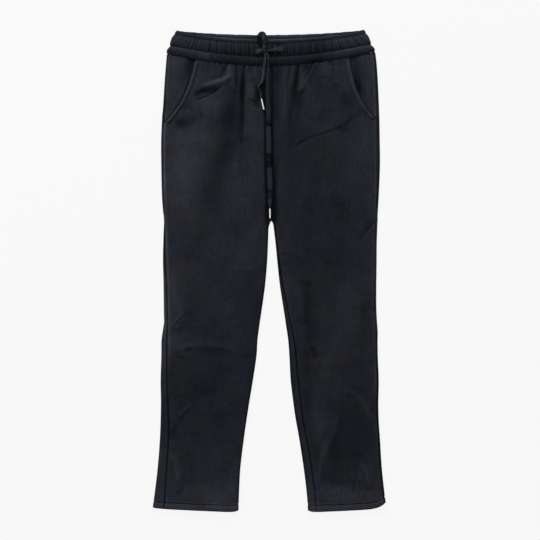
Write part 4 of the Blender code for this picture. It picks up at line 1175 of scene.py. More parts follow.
    def build_back(self) -> bpy.types.Object:
        """The back panel, from the side seam round both folds to the inseam."""
        row = panel_rows(2.4, self.back_spacing)
        section = self.leg.section(row, 0.0)
        layer = section.layer
        side = self.leg.side_reach(row, section) - SEAM_GAP / 2
        inseam = np.maximum(self.leg.inseam_reach(row, section) - SEAM_GAP / 2, 0.0)
        ones = np.ones_like(layer)
        near = np.array([0.0, 0.5, 1.0, 1.6])[None, :] / 1.6
        strip = np.minimum(1.6, side * 0.5)
        parts = [
            -side + near * strip,
            lerp(-side + strip, 0.0 * ones, shares(8))[:, 1:],
            lerp(0.0 * ones, section.quarter, shares(5))[:, 1:],
            lerp(section.quarter, layer - section.radius * section.inner_angle, shares(58))[:, 1:],
            lerp(layer - section.radius * section.inner_angle, layer, shares(5))[:, 1:],
        ]
        close = np.minimum(1.6, inseam * 0.5)
        parts.append(lerp(layer, layer + inseam - close, shares(8))[:, 1:])
        parts.append(layer + inseam - close + near[:, 1:] * close)
        reach = np.concatenate(parts, axis=1)
        depth = np.where(reach < 0, -reach, np.where(reach > layer, reach - layer, np.minimum(reach, layer - reach)))
        inseam_gap = np.where((row < 1.0) & (inseam > 1.0), layer + inseam - reach, UNTOUCHED)
        return self.wall("back_panel", row, section, reach, depth, np.minimum(reach + side, inseam_gap))

    def build_facing(self) -> bpy.types.Object:
        """The pocket facing, which dips from the side seam to under the front.

        Formula: level with the front at the side seam, it sinks over a distance that
        grows towards the waist, to 2.7 mm lower at the pocket opening.
        """
        leg = self.leg
        pocket = leg.pocket_row
        row = lerp(pocket, 2.0, np.linspace(0.02, 1.0, 84))[:, None]
        section = leg.section(row)
        opening = leg.pocket_reach(row, section)
        start = leg.side_reach(row, section) + SEAM_GAP / 2
        reach = edged_columns(start, opening + self.underlap, (0.0, 0.5, 1.0, 1.6, 2.4), 34)
        point, direction, _ = leg.surface(row, section, -reach)
        height = point[..., 1]
        slope = np.interp(height, *zip(*leg.facing_dips))
        slope = np.minimum(slope, np.maximum(opening - section.quarter, 1.0) * 0.85)
        dip = ease((reach - opening + slope) / np.maximum(slope + 1.0, 2.0))
        level = point[..., 2] + 1.4 * ease((reach - 2.0) / 22.0) * ease((952.0 - height) / 30.0)
        turned = np.clip(direction[..., 2], 0.0, 1.0)
        point[..., 2] = lerp(level, 4.1, dip * turned)
        half = self.facing_cloth / 2
        rolls = roll(reach - start, self.seam_roll)
        small = 0.3 * wander(height, 52.0, 31) * ease(reach / 10.0)
        outer = point + direction * (half + small - 0.8 * rolls)[..., None]
        inner = point - direction * half
        # Painted shade in a band beside the opening, in a spot near it, where the facing dips and along its seam, with
        # painted light just in from the seam; the facing is also coloured a little lighter overall.
        tone = 0.14 - 0.26 * np.exp(-((opening - reach - 13.0) / 11.0) ** 2) * ease((height - 850.0) / 50.0)
        low, amount = leg.facing_shade
        tone = tone - amount * np.exp(-((height - low) / 26.0) ** 2 - ((opening - reach - 7.0) / 9.0) ** 2)
        tone = tone - 0.22 * dip - 0.6 * bell(reach, start, 1.5) + 0.45 * np.exp(-((reach - start - 4.6) / 1.8) ** 2)
        tone = tone + 0.05 * wander(height + reach, 40.0, 32) + 0.06 * wander(point[..., 0] * 1.0, 9.0, 33)
        uv = np.stack([reach, height], axis=-1) * MM
        return closed_wall(self.piece_name("pocket_facing"), outer, inner, uv, tone, weld=True)

    def build_band(self, ground: BVHTree) -> bpy.types.Object:
        """The pocket band: a folded strip with a full middle along the opening.

        Formula: a flattened half round 7.6 mm wide, carried along the opening's curve
        on top of the front, with small uneven puckers; its free edge reaches down over
        the front's cut edge.

        Args:
            ground: the front panel's surface.

        Returns:
            The band.
        """
        leg = self.leg
        share = np.linspace(0.03, 0.965, 120)
        across, height = leg.pocket_point(share)
        inward = leg.pocket_inward(share, 0.004)
        width = self.band_width * (1.0 + 0.05 * wander(height, 30.0, 41))
        middle = np.stack([across, height], axis=-1) + inward * (width[:, None] / 2 - 0.6)
        spots = [middle + inward * step for step in (1.0, 3.4, 6.0)]
        base = np.max([top_of(ground, leg.sign * spot[:, 0], spot[:, 1]) for spot in spots], axis=0)
        base = settle(base, 3)
        ends = ease(np.minimum(share - 0.03, 0.965 - share) / 0.02)
        full = (1.75 + 0.16 * np.sin(2 * math.pi * (height / 5.2 + wander(height, 40.0, 42)))) * lerp(0.55, 1.0, ends)
        angle = np.linspace(0.0, 2 * math.pi, 20, endpoint=False)[None, :]
        side = np.sign(np.cos(angle)) * np.abs(np.cos(angle)) ** 0.8
        a = side * width[:, None] / 2
        b = np.where(np.sin(angle) > 0, full[:, None] * np.abs(np.sin(angle)) ** 0.75, -0.25 * np.abs(np.sin(angle)))
        b = b + 0.15 - np.where(a > 0, 2.6 * (np.clip(a / (width[:, None] / 2), 0.0, 1.0)) ** 3, 0.0)
        b = np.where((a > 0) & (np.sin(angle) <= 0), b - 0.3, b)
        centres = np.stack([leg.sign * middle[:, 0], middle[:, 1], base], axis=-1)
        outwards = np.stack([-leg.sign * inward[:, 0], -inward[:, 1], 0.0 * across], axis=-1)
        upward = np.tile(np.array([0.0, 0.0, 1.0]), (len(share), 1))
        edge = np.clip(np.abs(a) / (width[:, None] / 2), 0, 1)
        # Painted light along the band and painted shade at its edges.
        tone = 0.30 + 0.05 * wander(height, 24.0, 43)[:, None] - 0.3 * edge ** 4
        return swept(self.piece_name("pocket_band"), centres, outwards, upward, np.stack([a, b], axis=-1), tone, 16.0)

    def piece_name(self, kind: str) -> str:
        """Name of a piece of this leg."""
        return f"{kind}_{self.leg.name}_cloth"

    def build(self) -> None:
        """Build the leg's four pieces."""
        self.pieces["front_panel"] = self.build_front()
        self.pieces["back_panel"] = self.build_back()
        self.pieces["pocket_facing"] = self.build_facing()
        self.pieces["pocket_band"] = self.build_band(surface_tree([self.pieces["front_panel"]]))


UNDERSIDE_CREASES = (
    Crease(((-150, 900), (-120, 850), (-90, 800)), 9, 0.9), Crease(((60, 905), (90, 860), (110, 800)), 9, 0.9),
    Crease(((-30, 640), (-80, 600), (-140, 590)), 10, 1), Crease(((30, 640), (90, 606), (150, 600)), 10, 1),
    Crease(((-200, 402), (-150, 380), (-90, 390)), 9, 1), Crease(((200, 390), (150, 372), (90, 380)), 9, 1),
    Crease(((-190, 330), (-130, 340), (-70, 320)), 10, 0.8), Crease(((70, 320), (120, 300), (190, 310)), 10, 0.8),
    Crease(((-120, 160), (-150, 110), (-170, 60)), 8, 0.8), Crease(((110, 170), (140, 110), (150, 50)), 8, 0.8),
)


# ---------------------------------------------------------------- waistband

@dataclass(frozen=True)
class BandLevel:
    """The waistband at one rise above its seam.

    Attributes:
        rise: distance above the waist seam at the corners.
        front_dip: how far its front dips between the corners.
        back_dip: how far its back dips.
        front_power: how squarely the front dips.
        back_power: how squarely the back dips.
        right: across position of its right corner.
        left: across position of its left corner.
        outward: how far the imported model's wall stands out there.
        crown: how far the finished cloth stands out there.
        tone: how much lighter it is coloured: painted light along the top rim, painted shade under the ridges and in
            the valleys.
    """

    rise: float
    front_dip: float
    back_dip: float
    front_power: float
    back_power: float
    right: float
    left: float
    outward: float
    crown: float
    tone: float


@dataclass
class Waistband:
    """The gathered elastic waistband: a narrow channel above the seam and a wide one over it.

    Attributes:
        inner_height: height of its inside on the back above the surface.
        fold_radius: radius of its folds at both sides.
        front_step: grid spacing of its front.
        back_step: grid spacing of its back.
        rib_height: height of the elastic's ribs.
    """

    inner_height: float = 3.2
    fold_radius: float = 2.6
    front_step: float = 0.9
    back_step: float = 1.35
    rib_height: float = 1.0
    levels: tuple[BandLevel, ...] = (
        BandLevel(0, 27, 10, 1.2, 1.2, 212.6, 218.6, 0.6, -0.2, -0.12),
        BandLevel(1.6, 26.8, 9.9, 1.2, 1.15, 212.9, 218.7, 1.8, 1.4, -0.08),
        BandLevel(3.5, 26.5, 9.8, 1.2, 1.1, 213, 218.6, 2.4, 2.5, -0.10),
        BandLevel(8, 25.5, 9.6, 1.2, 1, 212.8, 217.8, 3.2, 3.5, -0.05),
        BandLevel(12, 24.6, 9.5, 1.2, 0.9, 209.9, 214.4, 2.6, 3.1, 0),
        BandLevel(14.4, 24, 9.5, 1.2, 0.85, 208.2, 212.4, 1.8, 1.9, 0),
        BandLevel(16, 23.7, 9.5, 1.2, 0.8, 206.9, 211.1, 1.2, 0.4, -0.20),
        BandLevel(17.6, 23.4, 9.5, 1.18, 0.78, 206.8, 210.9, 1.6, 1.3, -0.26),
        BandLevel(21.5, 23, 9.4, 1.1, 0.7, 206.6, 210.4, 2.5, 2.5, -0.26),
        BandLevel(29.5, 22, 9.4, 1, 0.7, 204.4, 207.6, 2.8, 2.9, -0.12),
        BandLevel(37, 21, 9.5, 0.9, 0.60, 200.4, 203.6, 2.6, 2.7, 0.02),
        BandLevel(40.6, 20.6, 9.5, 0.85, 0.75, 198, 201, 2.4, 1.5, -0.22),
        BandLevel(43, 20.5, 9.4, 0.82, 0.80, 196.2, 199.4, 2.1, 2.3, -0.06),
        BandLevel(45.8, 20.4, 9.4, 0.78, 0.85, 193.6, 197.2, 1.6, 2.4, 0.02),
        BandLevel(47.8, 20.4, 9.3, 0.76, 0.90, 191.5, 195.4, 1.2, 1.9, 0.9),
        BandLevel(48.8, 20.4, 9.3, 0.75, 0.90, 190.6, 194.6, 1, 1, 1.5),
    )

    def level(self, name: str, rise: Array) -> Array:
        """One column of the level table at some rises."""
        return smooth_value([row.rise for row in self.levels], [getattr(row, name) for row in self.levels], rise)

    def ribs(self, x: Array, rise: Array) -> tuple[Array, Array]:
        """Relief and tone of the elastic's gathers at places round the band.

        Formula: rounded ribs are the root of a squared sine of an uneven phase, about
        7 mm apart. They lean inwards near both corners of the wide channel. The narrow
        channel has ribs 5.6 mm apart in its middle, wider pleats at its right end, and
        smooth stretches between.

        Args:
            x: places across the band.
            rise: places above the seam.

        Returns:
            Relief in millimetres and tone.
        """
        lean = np.interp(np.abs(x), (0, 100, 135, 165, 190, 215), (0.0, 0.0, 0.2, 0.45, 1.1, 1.4))
        moved = x + np.sign(x) * lean * (rise - 29.0) + 0.03 * (rise - 29.0) * wander(x, 70.0, 50)
        phase = moved / 7.2 + 0.42 * wander(moved, 54.0, 51)
        wide = np.sqrt(np.sin(math.pi * phase) ** 2 + 0.015)
        height = 0.72 + 0.4 * wander(moved, 33.0, 52)
        height = height * (1.0 + 0.18 * np.sin(rise / 5.0 + 3.0 * wander(moved, 26.0, 53)))
        window = ease((rise - 16.6) / 4.0) * ease((41.2 - rise) / 4.5)
        relief = window * height * (wide - 0.75)
        # The tone paints light on the ribs' crests and shade in their hollows and notches, with painted shade at x = 96
        # on the narrow channel and a lighter stretch at x = -135.
        tone = window * (0.30 * (wide - 0.72) + 0.14 * wander(moved, 17.0, 54))
        low = x + 0.04 * (rise - 8.0) * wander(x, 30.0, 55)
        narrow_phase = low / 5.6 + 0.34 * wander(low, 38.0, 56)
        pleat_phase = (low + 0.45 * (rise - 8.0)) / 7.3 + 0.2 * wander(low, 40.0, 57)
        middle = ease((low + 119.0) / 5.0) * ease((92.0 - low) / 8.0)
        pleats = ease((-150.0 - low) / 8.0) * ease((low + 213.0) / 6.0)
        faint = 0.25 * ease((low - 96.0) / 10.0) + 0.15
        narrow = np.sqrt(np.sin(math.pi * narrow_phase) ** 2 + 0.02)
        pleat = np.sqrt(np.sin(math.pi * pleat_phase) ** 2 + 0.02)
        notch = bell(low, -119.5, 1.7) + 0.7 * bell(low, -152.0, 1.8)
        low_window = ease(rise / 3.0) * ease((15.6 - rise) / 3.4)
        relief += low_window * (0.85 * middle * (narrow - 0.75) + 1.0 * pleats * (pleat - 0.75) - 1.7 * notch)
        relief += low_window * faint * 0.5 * wander(low, 21.0, 58)
        tone += low_window * (0.2 * middle * (narrow - 0.72) + 0.25 * pleats * (pleat - 0.72) - 0.3 * notch)
        shade = bell(x, 96.0, 13.0) * ease((9.0 - rise) / 6.0)
        return relief, tone - 0.3 * shade * low_window + 0.12 * bell(x, -135.0, 15.0) * low_window

    def build(self) -> bpy.types.Object:
        """Build the band as one closed loop of wall.

        Formula: a flat front, a half turn at each side and a flat back, at levels whose
        height dips between the corners. Each point stands out from the wall's middle by
        its level's crown and the ribs; the inside follows 1.6 mm within.

        Returns:
            The waistband.
        """
        front = np.arange(-1.0, 1.0, self.front_step / 205.0)
        back = np.arange(1.0, -1.0, -self.back_step / 205.0)
        bend = np.linspace(0.0, math.pi, 11)
        share = np.concatenate([front, np.ones(10), back, -np.ones(10)])[:, None]
        turn = np.concatenate([0.0 * front, bend[:-1], 0.0 * back + math.pi, math.pi + bend[:-1]])[:, None]
        outer_rise = np.unique(np.concatenate([
            np.linspace(0.0, 3.0, 5), np.linspace(3.0, 13.0, 8), np.linspace(13.0, 19.0, 10),
            np.linspace(19.0, 39.0, 13), np.linspace(39.0, 43.5, 7), np.linspace(43.5, 48.3, 7),
        ]))
        inner_rise = np.array([48.0, 46.5, 43.0, 36.0, 28.0, 20.0, 12.0, 5.0, 0.0])
        rise = np.concatenate([outer_rise, inner_rise])[None, :]
        inside = np.concatenate([np.zeros(len(outer_rise)), np.ones(len(inner_rise))])[None, :]
        corner = np.where(share > 0, self.level("left", rise), self.level("right", rise))
        flat_reach = corner - self.fold_radius - self.level("outward", rise)
        rough = share * flat_reach + self.fold_radius * np.sin(turn)
        relief, tone = self.ribs(rough, rise)
        level_tone = self.level("tone", rise)
        on_front = (np.cos(turn) > 0.5).astype(float)
        calm = ease((1.0 - np.abs(share)) / 0.03 + 0.25)
        crown = self.level("crown", rise) + self.rib_height * relief * calm
        inner_ribs = 0.5 * np.sqrt(np.sin(math.pi * (rough / 6.4 + 0.3 * wander(rough, 40.0, 61))) ** 2 + 0.02)
        inner_edge = np.where(rise > 47.5, 0.2, np.where(rise > 45.0, 1.2, 1.6))
        offset = np.where(inside > 0, -inner_edge + (1.0 - on_front) * 0.6 * inner_ribs * (rise < 45.0), crown)
        radius = self.fold_radius + offset
        x = share * flat_reach + radius * np.sin(turn)
        z = self.inner_height + self.fold_radius + radius * np.cos(turn)
        z = np.maximum(z, 0.0)
        spread = np.minimum(1.0, np.abs(x) / corner)
        upper = np.cos(turn) > 0
        dip = np.where(upper, self.level("front_dip", rise), self.level("back_dip", rise))
        power = np.where(upper, self.level("front_power", rise), self.level("back_power", rise))
        base = waist_height(x, spread, dip, power)
        sway = 0.35 * wander(x, 34.0, 62) * ease(rise / 20.0) * calm
        height = base + rise * (1.0 - BAND_TAPER * x / WAIST_HALF) + np.where(rise <= 0.01, 0.05, 0.0) + sway
        points = np.stack([x, height, z], axis=-1)
        rows, columns = points.shape[:2]
        flat = points.reshape(-1, 3)
        faces = grid_faces(rows, columns, round_rows=True, round_columns=True)
        normal_guess = np.stack([np.sin(turn) + 0 * rise, 0 * points[..., 0], np.cos(turn) + 0 * rise], axis=-1)
        normal_guess *= np.where(inside > 0, -1.0, 1.0)[..., None]
        faces = faces_outwards(flat, faces, normal_guess.reshape(-1, 3))
        # The levels' tones paint light along the top rims, strongest in the middle of the front, and paint shade under
        # the ridges and in the valleys; the inside is lighter at its top rim and follows its ribs.
        rim = np.where(inside > 0, np.where(rise > 45.0, 0.5, -0.05 + 0.3 * (inner_ribs - 0.3)), level_tone)
        rim = np.where((inside < 1) & (on_front < 1) & (rise < 46.0), level_tone * 0.5, rim)
        fade = 1.0 + 0.25 * wander(x, 90.0, 63)
        painted_highlight = ease((158.0 - np.abs(x)) / 50.0) * fade
        # Painted shade over the middle of the lower front. Towards the corners the band is coloured lighter, and a
        # little darker low down.
        middle = ease((165.0 - np.abs(x - 12.0)) / 95.0) * ease((19.0 - rise) / 6.0) * on_front * (inside < 1)
        both = np.where(inside > 0, 0.0, 1.3 * tone) + np.where(rim > 0.2, rim * painted_highlight, rim) - 0.20 * middle
        ends = ease((np.abs(x) - 120.0) / 70.0) * on_front * (inside < 1)
        both += 0.14 * ends * ease((46.0 - rise) / 4.0) - 0.2 * ends * ease((14.0 - rise) / 4.0)
        # Painted shadow of the drawstring where it crosses the band, and painted shade across the middle of the front.
        both -= 0.35 * np.exp(-((x - 14.0) / 16.0) ** 2 - ((height - 969.0) / 5.0) ** 2) * on_front * (inside < 1)
        both -= 0.12 * ease((150.0 - np.abs(x)) / 80.0) * on_front * (inside < 1) * ease((44.0 - rise) / 4.0)
        run = np.concatenate([[0.0], np.cumsum(np.hypot(np.diff(x[:, 20]), np.diff(z[:, 20])))])[:, None]
        uv = np.stack([run + 0 * rise, height + 60.0 * inside], axis=-1) * MM
        return make_object("waistband_cloth", flat, faces, uv.reshape(-1, 2), both.reshape(-1))


# ---------------------------------------------------------------- drawstring

@dataclass(frozen=True)
class Stretch:
    """A stretch of a tape coloured lighter or darker than the rest: painted light where the tape catches light, painted
    shade where it twists away.

    Attributes:
        start: distance along the tape where it starts.
        end: distance along the tape where it ends.
        tone: how much lighter it is coloured.
        slant: how much its ends slant across the tape.
        lean: how much of the tone lies to one side of the tape.
    """

    start: float
    end: float
    tone: float
    slant: float = 0.0
    lean: float = 0.0


@dataclass(frozen=True)
class Tape:
    """One flat woven tape, which rolls up where it looks narrow.

    Attributes:
        name: the piece's name.
        route: (x, height, visible width, rise, tone) of its points, from its buttonhole; the tone is painted light and
            shade.
        bridge: height above which it holds level instead of following the cloth.
        stretches: where painted light and shade colour it lighter and darker.
        width: its true width.
        cloth: its thickness.
    """

    name: str
    route: tuple[tuple[float, float, float, float, float], ...]
    bridge: float = 968.0
    stretches: tuple[Stretch, ...] = ()
    width: float = 11.2
    cloth: float = 1.2

    def build(self, ground: BVHTree) -> tuple[bpy.types.Object, list[list[float]]]:
        """Build the tape and its centreline.

        Formula: across the tape lies an arc of its true width. Its half angle is the
        one whose visible width is the route's: width * sin(a) / a up to a quarter turn,
        width / a past it. Its edges lie on the cloth below.

        Args:
            ground: the surface of the cloth it lies on.

        Returns:
            The tape, and its centreline as points in metres.
        """
        route = smooth_route(self.route, 1.2)
        x, height, visible, rise, shade = route.T
        run = np.gradient(route[:, :2], axis=0)
        run = unit(run)
        across = np.stack([-run[:, 1], run[:, 0]], axis=-1)
        spots = [route[:, :2] + across * visible[:, None] * share for share in (-0.5, -0.25, 0.0, 0.25, 0.5)]
        floor = np.max([top_of(ground, spot[:, 0], spot[:, 1]) for spot in spots], axis=0)
        high = height > self.bridge
        held = (height > 930.0) & ~high
        floor = np.where(high, floor[held].max() if high.any() else 0.0, floor)
        floor = settle(floor, 3) + 0.25 + rise
        angles = np.linspace(0.3, 2.7, 200)
        shown = np.where(angles <= math.pi / 2, np.sin(angles) / angles, 1.0 / angles)
        half = np.interp(-visible / self.width, -shown, angles)[:, None]
        shape = np.linspace(-1.0, 1.0, 13)[None, :]
        reach = 2 * np.where(half > math.pi / 2, 1.0, np.sin(half))
        radius = np.minimum(self.width / (2 * half), visible[:, None] / reach)
        outer, inner = radius + self.cloth / 2, np.maximum(radius - self.cloth / 2, 0.25)
        angle = shape * half
        squash = lerp(1.0, 0.8, np.clip(radius * (1.0 - np.cos(half)) / 3.4, 0.0, 1.0))
        on_edge = np.minimum(1.0, visible / (0.37 * self.width))[:, None]
        a = np.concatenate([outer * np.sin(angle), (inner * np.sin(angle))[:, ::-1]], axis=1) * on_edge
        b = np.concatenate([outer * np.cos(angle), (inner * np.cos(angle))[:, ::-1]], axis=1) - radius * np.cos(half)
        b = b * squash + self.cloth * 0.55
        centres = np.stack([x, height, floor], axis=-1)
        sideways = np.concatenate([across, np.zeros((len(x), 1))], axis=1)
        upward = np.tile(np.array([0.0, 0.0, 1.0]), (len(x), 1))
        edge = np.concatenate([shape, shape[:, ::-1]], axis=1)
        # Painted shade darkens the tape's edges; the route's tone and the stretches paint light and shade along it.
        tone = shade[:, None] - 0.7 * np.abs(edge) ** 4 + 0.10 * wander(height, 13.0, 71)[:, None]
        length = np.concatenate([[0.0], np.cumsum(np.hypot(np.diff(x), np.diff(height)))])[:, None]
        for stretch in self.stretches:
            place = length - 1.6 * edge * stretch.slant
            inside = ease((place - stretch.start) / 1.2 + 0.5) * ease((stretch.end - place) / 1.2 + 0.5)
            tone = tone + stretch.tone * inside * (1.0 + stretch.lean * edge)
        obj = swept(self.name, centres, sideways, upward, np.stack([a, b], axis=-1), tone, 2.2 * self.width)
        middle = floor + (b.max(axis=1) + b.min(axis=1)) / 2
        path = np.stack([x * MM, (height - LENGTH / 2) * MM, middle * MM], axis=-1)
        return obj, path.tolist()


LEFT_TAPE = Tape(
    name="drawstring_left_tape",
    route=(
        (29.5, 959.8, 11.2, 0.2, 0.2), (26, 959.4, 11.2, 0.3, 0.3), (20, 958.4, 10, 0.3, 0.2),
        (13, 957.4, 7.6, 0.2, 0.1), (5, 956.4, 4.8, 0.2, 0), (-2, 956, 3.8, 0.3, 0),
        (-7, 956, 3.8, 0.5, 0), (-10.4, 955.4, 3.6, 0.6, 0.2), (-9.4, 952.6, 3.4, 0.4, 0.4),
        (-6, 950.4, 3.4, 0.4, 0.6), (-3.4, 946.8, 3.2, 0.4, 0.8), (-2, 941.4, 3, 0.3, 0.5),
        (-1.8, 934, 3.2, 0.3, 0.1), (-2.2, 924, 4.2, 0.2, 0), (-3, 912, 5.2, 0.1, -0.1),
        (-3.5, 896, 6.2, 0, -0.2), (-3.7, 880, 6.8, 0, -0.2), (-3.8, 866, 8, 0, -0.2),
        (-3.2, 852, 9.8, 0, -0.15), (-2.4, 834, 11, 0, -0.1), (-2.2, 816, 11, 0, -0.1),
        (-2.2, 809, 10, 0, 0), (-2.1, 804.4, 9.6, 0.9, 0), (-2, 800, 11, 0.5, 0.1),
        (-1.9, 792, 11, 0.1, 0.1), (-1.6, 772, 11, 0, 0.15), (-1.3, 752, 10.8, 0, 0.1),
        (-1.2, 745, 10.2, 0.4, 0), (-1, 736, 10.6, 0.3, 0), (-0.4, 722, 10.2, 0.4, 0),
        (-0.1, 714, 10.8, 0.2, 0.1), (0.3, 700, 11, 0, 0.1), (1.2, 684, 11, 0, 0),
        (1.5, 668, 11, 0, -0.1), (1.5, 656, 10.6, 0, -0.1), (1.4, 647.5, 9.6, 0, 0),
        (1.1, 640.6, 7.2, 0, 0), (1, 634.8, 4.6, 0.6, 0), (1, 629, 3.6, 1, 0),
    ),
    stretches=(
        Stretch(183, 190, -0.35, 0.6), Stretch(190, 197.6, -0.85, 1), Stretch(254.9, 266.6, -0.80, 0.2),
        Stretch(267.8, 284.4, -0.78, -0.2), Stretch(311, 327, 0.2), Stretch(329, 350, -0.45), Stretch(3, 27, 0.25),
    ),
)

RIGHT_TAPE = Tape(
    name="drawstring_right_tape",
    route=(
        (-30.2, 956, 8.6, 0.2, 0), (-27.4, 954.8, 10.8, 0.6, 0.2), (-23, 954.4, 11, 0.7, 0.4),
        (-18, 955, 8, 0.4, 0.1), (-14.4, 956.8, 4.4, 0.4, 0), (-12.6, 959, 4, 0.8, 0),
        (-15, 964, 6.4, 0.8, -0.3), (-18.4, 970.6, 8.2, 0.7, -0.5), (-21, 979, 8.8, 0.6, -0.55),
        (-20.8, 986, 8, 0.6, -0.5), (-18.6, 990.8, 6.6, 0.6, -0.4), (-15.2, 992, 6, 0.6, 0.1),
        (-12, 990.2, 7.2, 0.6, 0.1), (-10.8, 984, 9, 0.6, 0), (-10.2, 977, 9, 0.6, -0.1),
        (-9.8, 969, 7.2, 0.6, -0.2), (-10, 962, 4.6, 0.6, -0.1), (-11.2, 957, 3.6, 0.6, 0.1),
        (-12, 953.2, 3.4, 0.3, 0.3), (-10.2, 949.4, 3.4, 0.2, 0.7), (-8.2, 944.6, 3.6, 0.1, 0.5),
        (-8.8, 936, 4.2, 0, 0.4), (-10.2, 926, 5.6, 0, 0.4), (-12, 910, 6.2, 0, 0.4),
        (-13.6, 898, 5.8, 0, 0.4), (-16.4, 890.4, 4, 0.2, 0.4), (-21.8, 884.4, 2.4, 0.8, 0.7),
        (-23.2, 882, 2.2, 1, 0.8), (-21.8, 877.6, 2.2, 0.6, 0.6), (-19.2, 871, 2.8, 0.1, 0.3),
        (-18, 867, 3.6, 0.2, 0), (-17.4, 862.6, 3.8, 0.6, 0.3), (-16, 855.4, 3.4, 1, 0),
    ),
    stretches=(
        Stretch(57, 71, 0.6, 0, -2.2), Stretch(72, 84, -0.2), Stretch(20, 48, -0.4, 0, 1.5),
        Stretch(48, 55, 0.45, 0.3, 0.4),
        Stretch(2, 14, 0.3), Stretch(106, 158, 0.2, 0, -0.8), Stretch(160, 180, 0.5, 0, 0.5),
    ),
)


@dataclass(frozen=True)
class Knot:
    """The knot: three short turns of tape over the crossing, each a closed ring.

    Attributes:
        name: the piece's name.
        wraps: (x, height, half length, half height, width, turn in degrees) of each wrap.
    """

    name: str = "drawstring_knot_wraps"
    wraps: tuple[tuple[float, ...], ...] = (
        (-11.0, 961.8, 5.2, 3.0, 6.6, 94.0), (-10.4, 954.6, 3.4, 2.6, 4.2, 58.0), (-13.6, 957.4, 3.6, 2.7, 3.6, 112.0),
    )

    def build(self, ground: BVHTree) -> bpy.types.Object:
        """Build the wraps as one mesh.

        Formula: each wrap is a rounded strip carried round an ellipse that stands on
        edge, x = half length * cos t along its turn, z = half height * sin t.

        Args:
            ground: the surface of the cloth the knot sits on.

        Returns:
            The knot.
        """
        points, faces, tones, cuts, start = [], [], [], [], 0
        t = np.linspace(0.0, 2 * math.pi, 40, endpoint=False)
        corner = np.linspace(0.0, 2 * math.pi, 14, endpoint=False)
        for x, height, half_length, half_height, width, degrees in self.wraps:
            turn = math.radians(degrees)
            base = float(top_of(ground, np.array([x]), np.array([height]))[0]) + 0.6
            swell = 1.0 + 0.1 * np.sin(2 * t + degrees)
            ring_a = half_length * np.cos(t)
            ring_z = half_height * np.sin(t) + half_height + base
            out = np.stack([np.cos(t), np.sin(t)], axis=-1)
            wide = (width / 2 * swell)[:, None] * np.sign(np.cos(corner)) * np.abs(np.cos(corner)) ** 0.8
            thick = 0.85 * np.sin(corner)[None, :]
            a = ring_a[:, None] + thick * out[:, :1]
            z = ring_z[:, None] + thick * out[:, 1:]
            px = x + a * math.cos(turn) - wide * math.sin(turn)
            py = height + a * math.sin(turn) + wide * math.cos(turn)
            ring = np.stack([px, py, z], axis=-1)
            flat = ring.reshape(-1, 3)
            outward = (ring - ring.mean(axis=1, keepdims=True)).reshape(-1, 3)
            quads = faces_outwards(flat, grid_faces(40, 14, round_rows=True, round_columns=True), outward)
            points.append(flat)
            faces.append(quads + start)
            # Painted light along the top of each wrap, painted shade on its lower half and at its edges.
            crown = np.maximum(np.sin(t), 0.0)[:, None] ** 2
            tones.append((1.0 * crown - 0.5 - 0.7 * np.abs(np.cos(corner)) ** 3).reshape(-1))
            cuts.append((np.stack([wide, (t * half_length)[:, None] + 0 * wide], axis=-1) * MM).reshape(-1, 2))
            start += len(flat)
        return make_object(self.name, *(np.concatenate(part) for part in (points, faces, cuts, tones)))


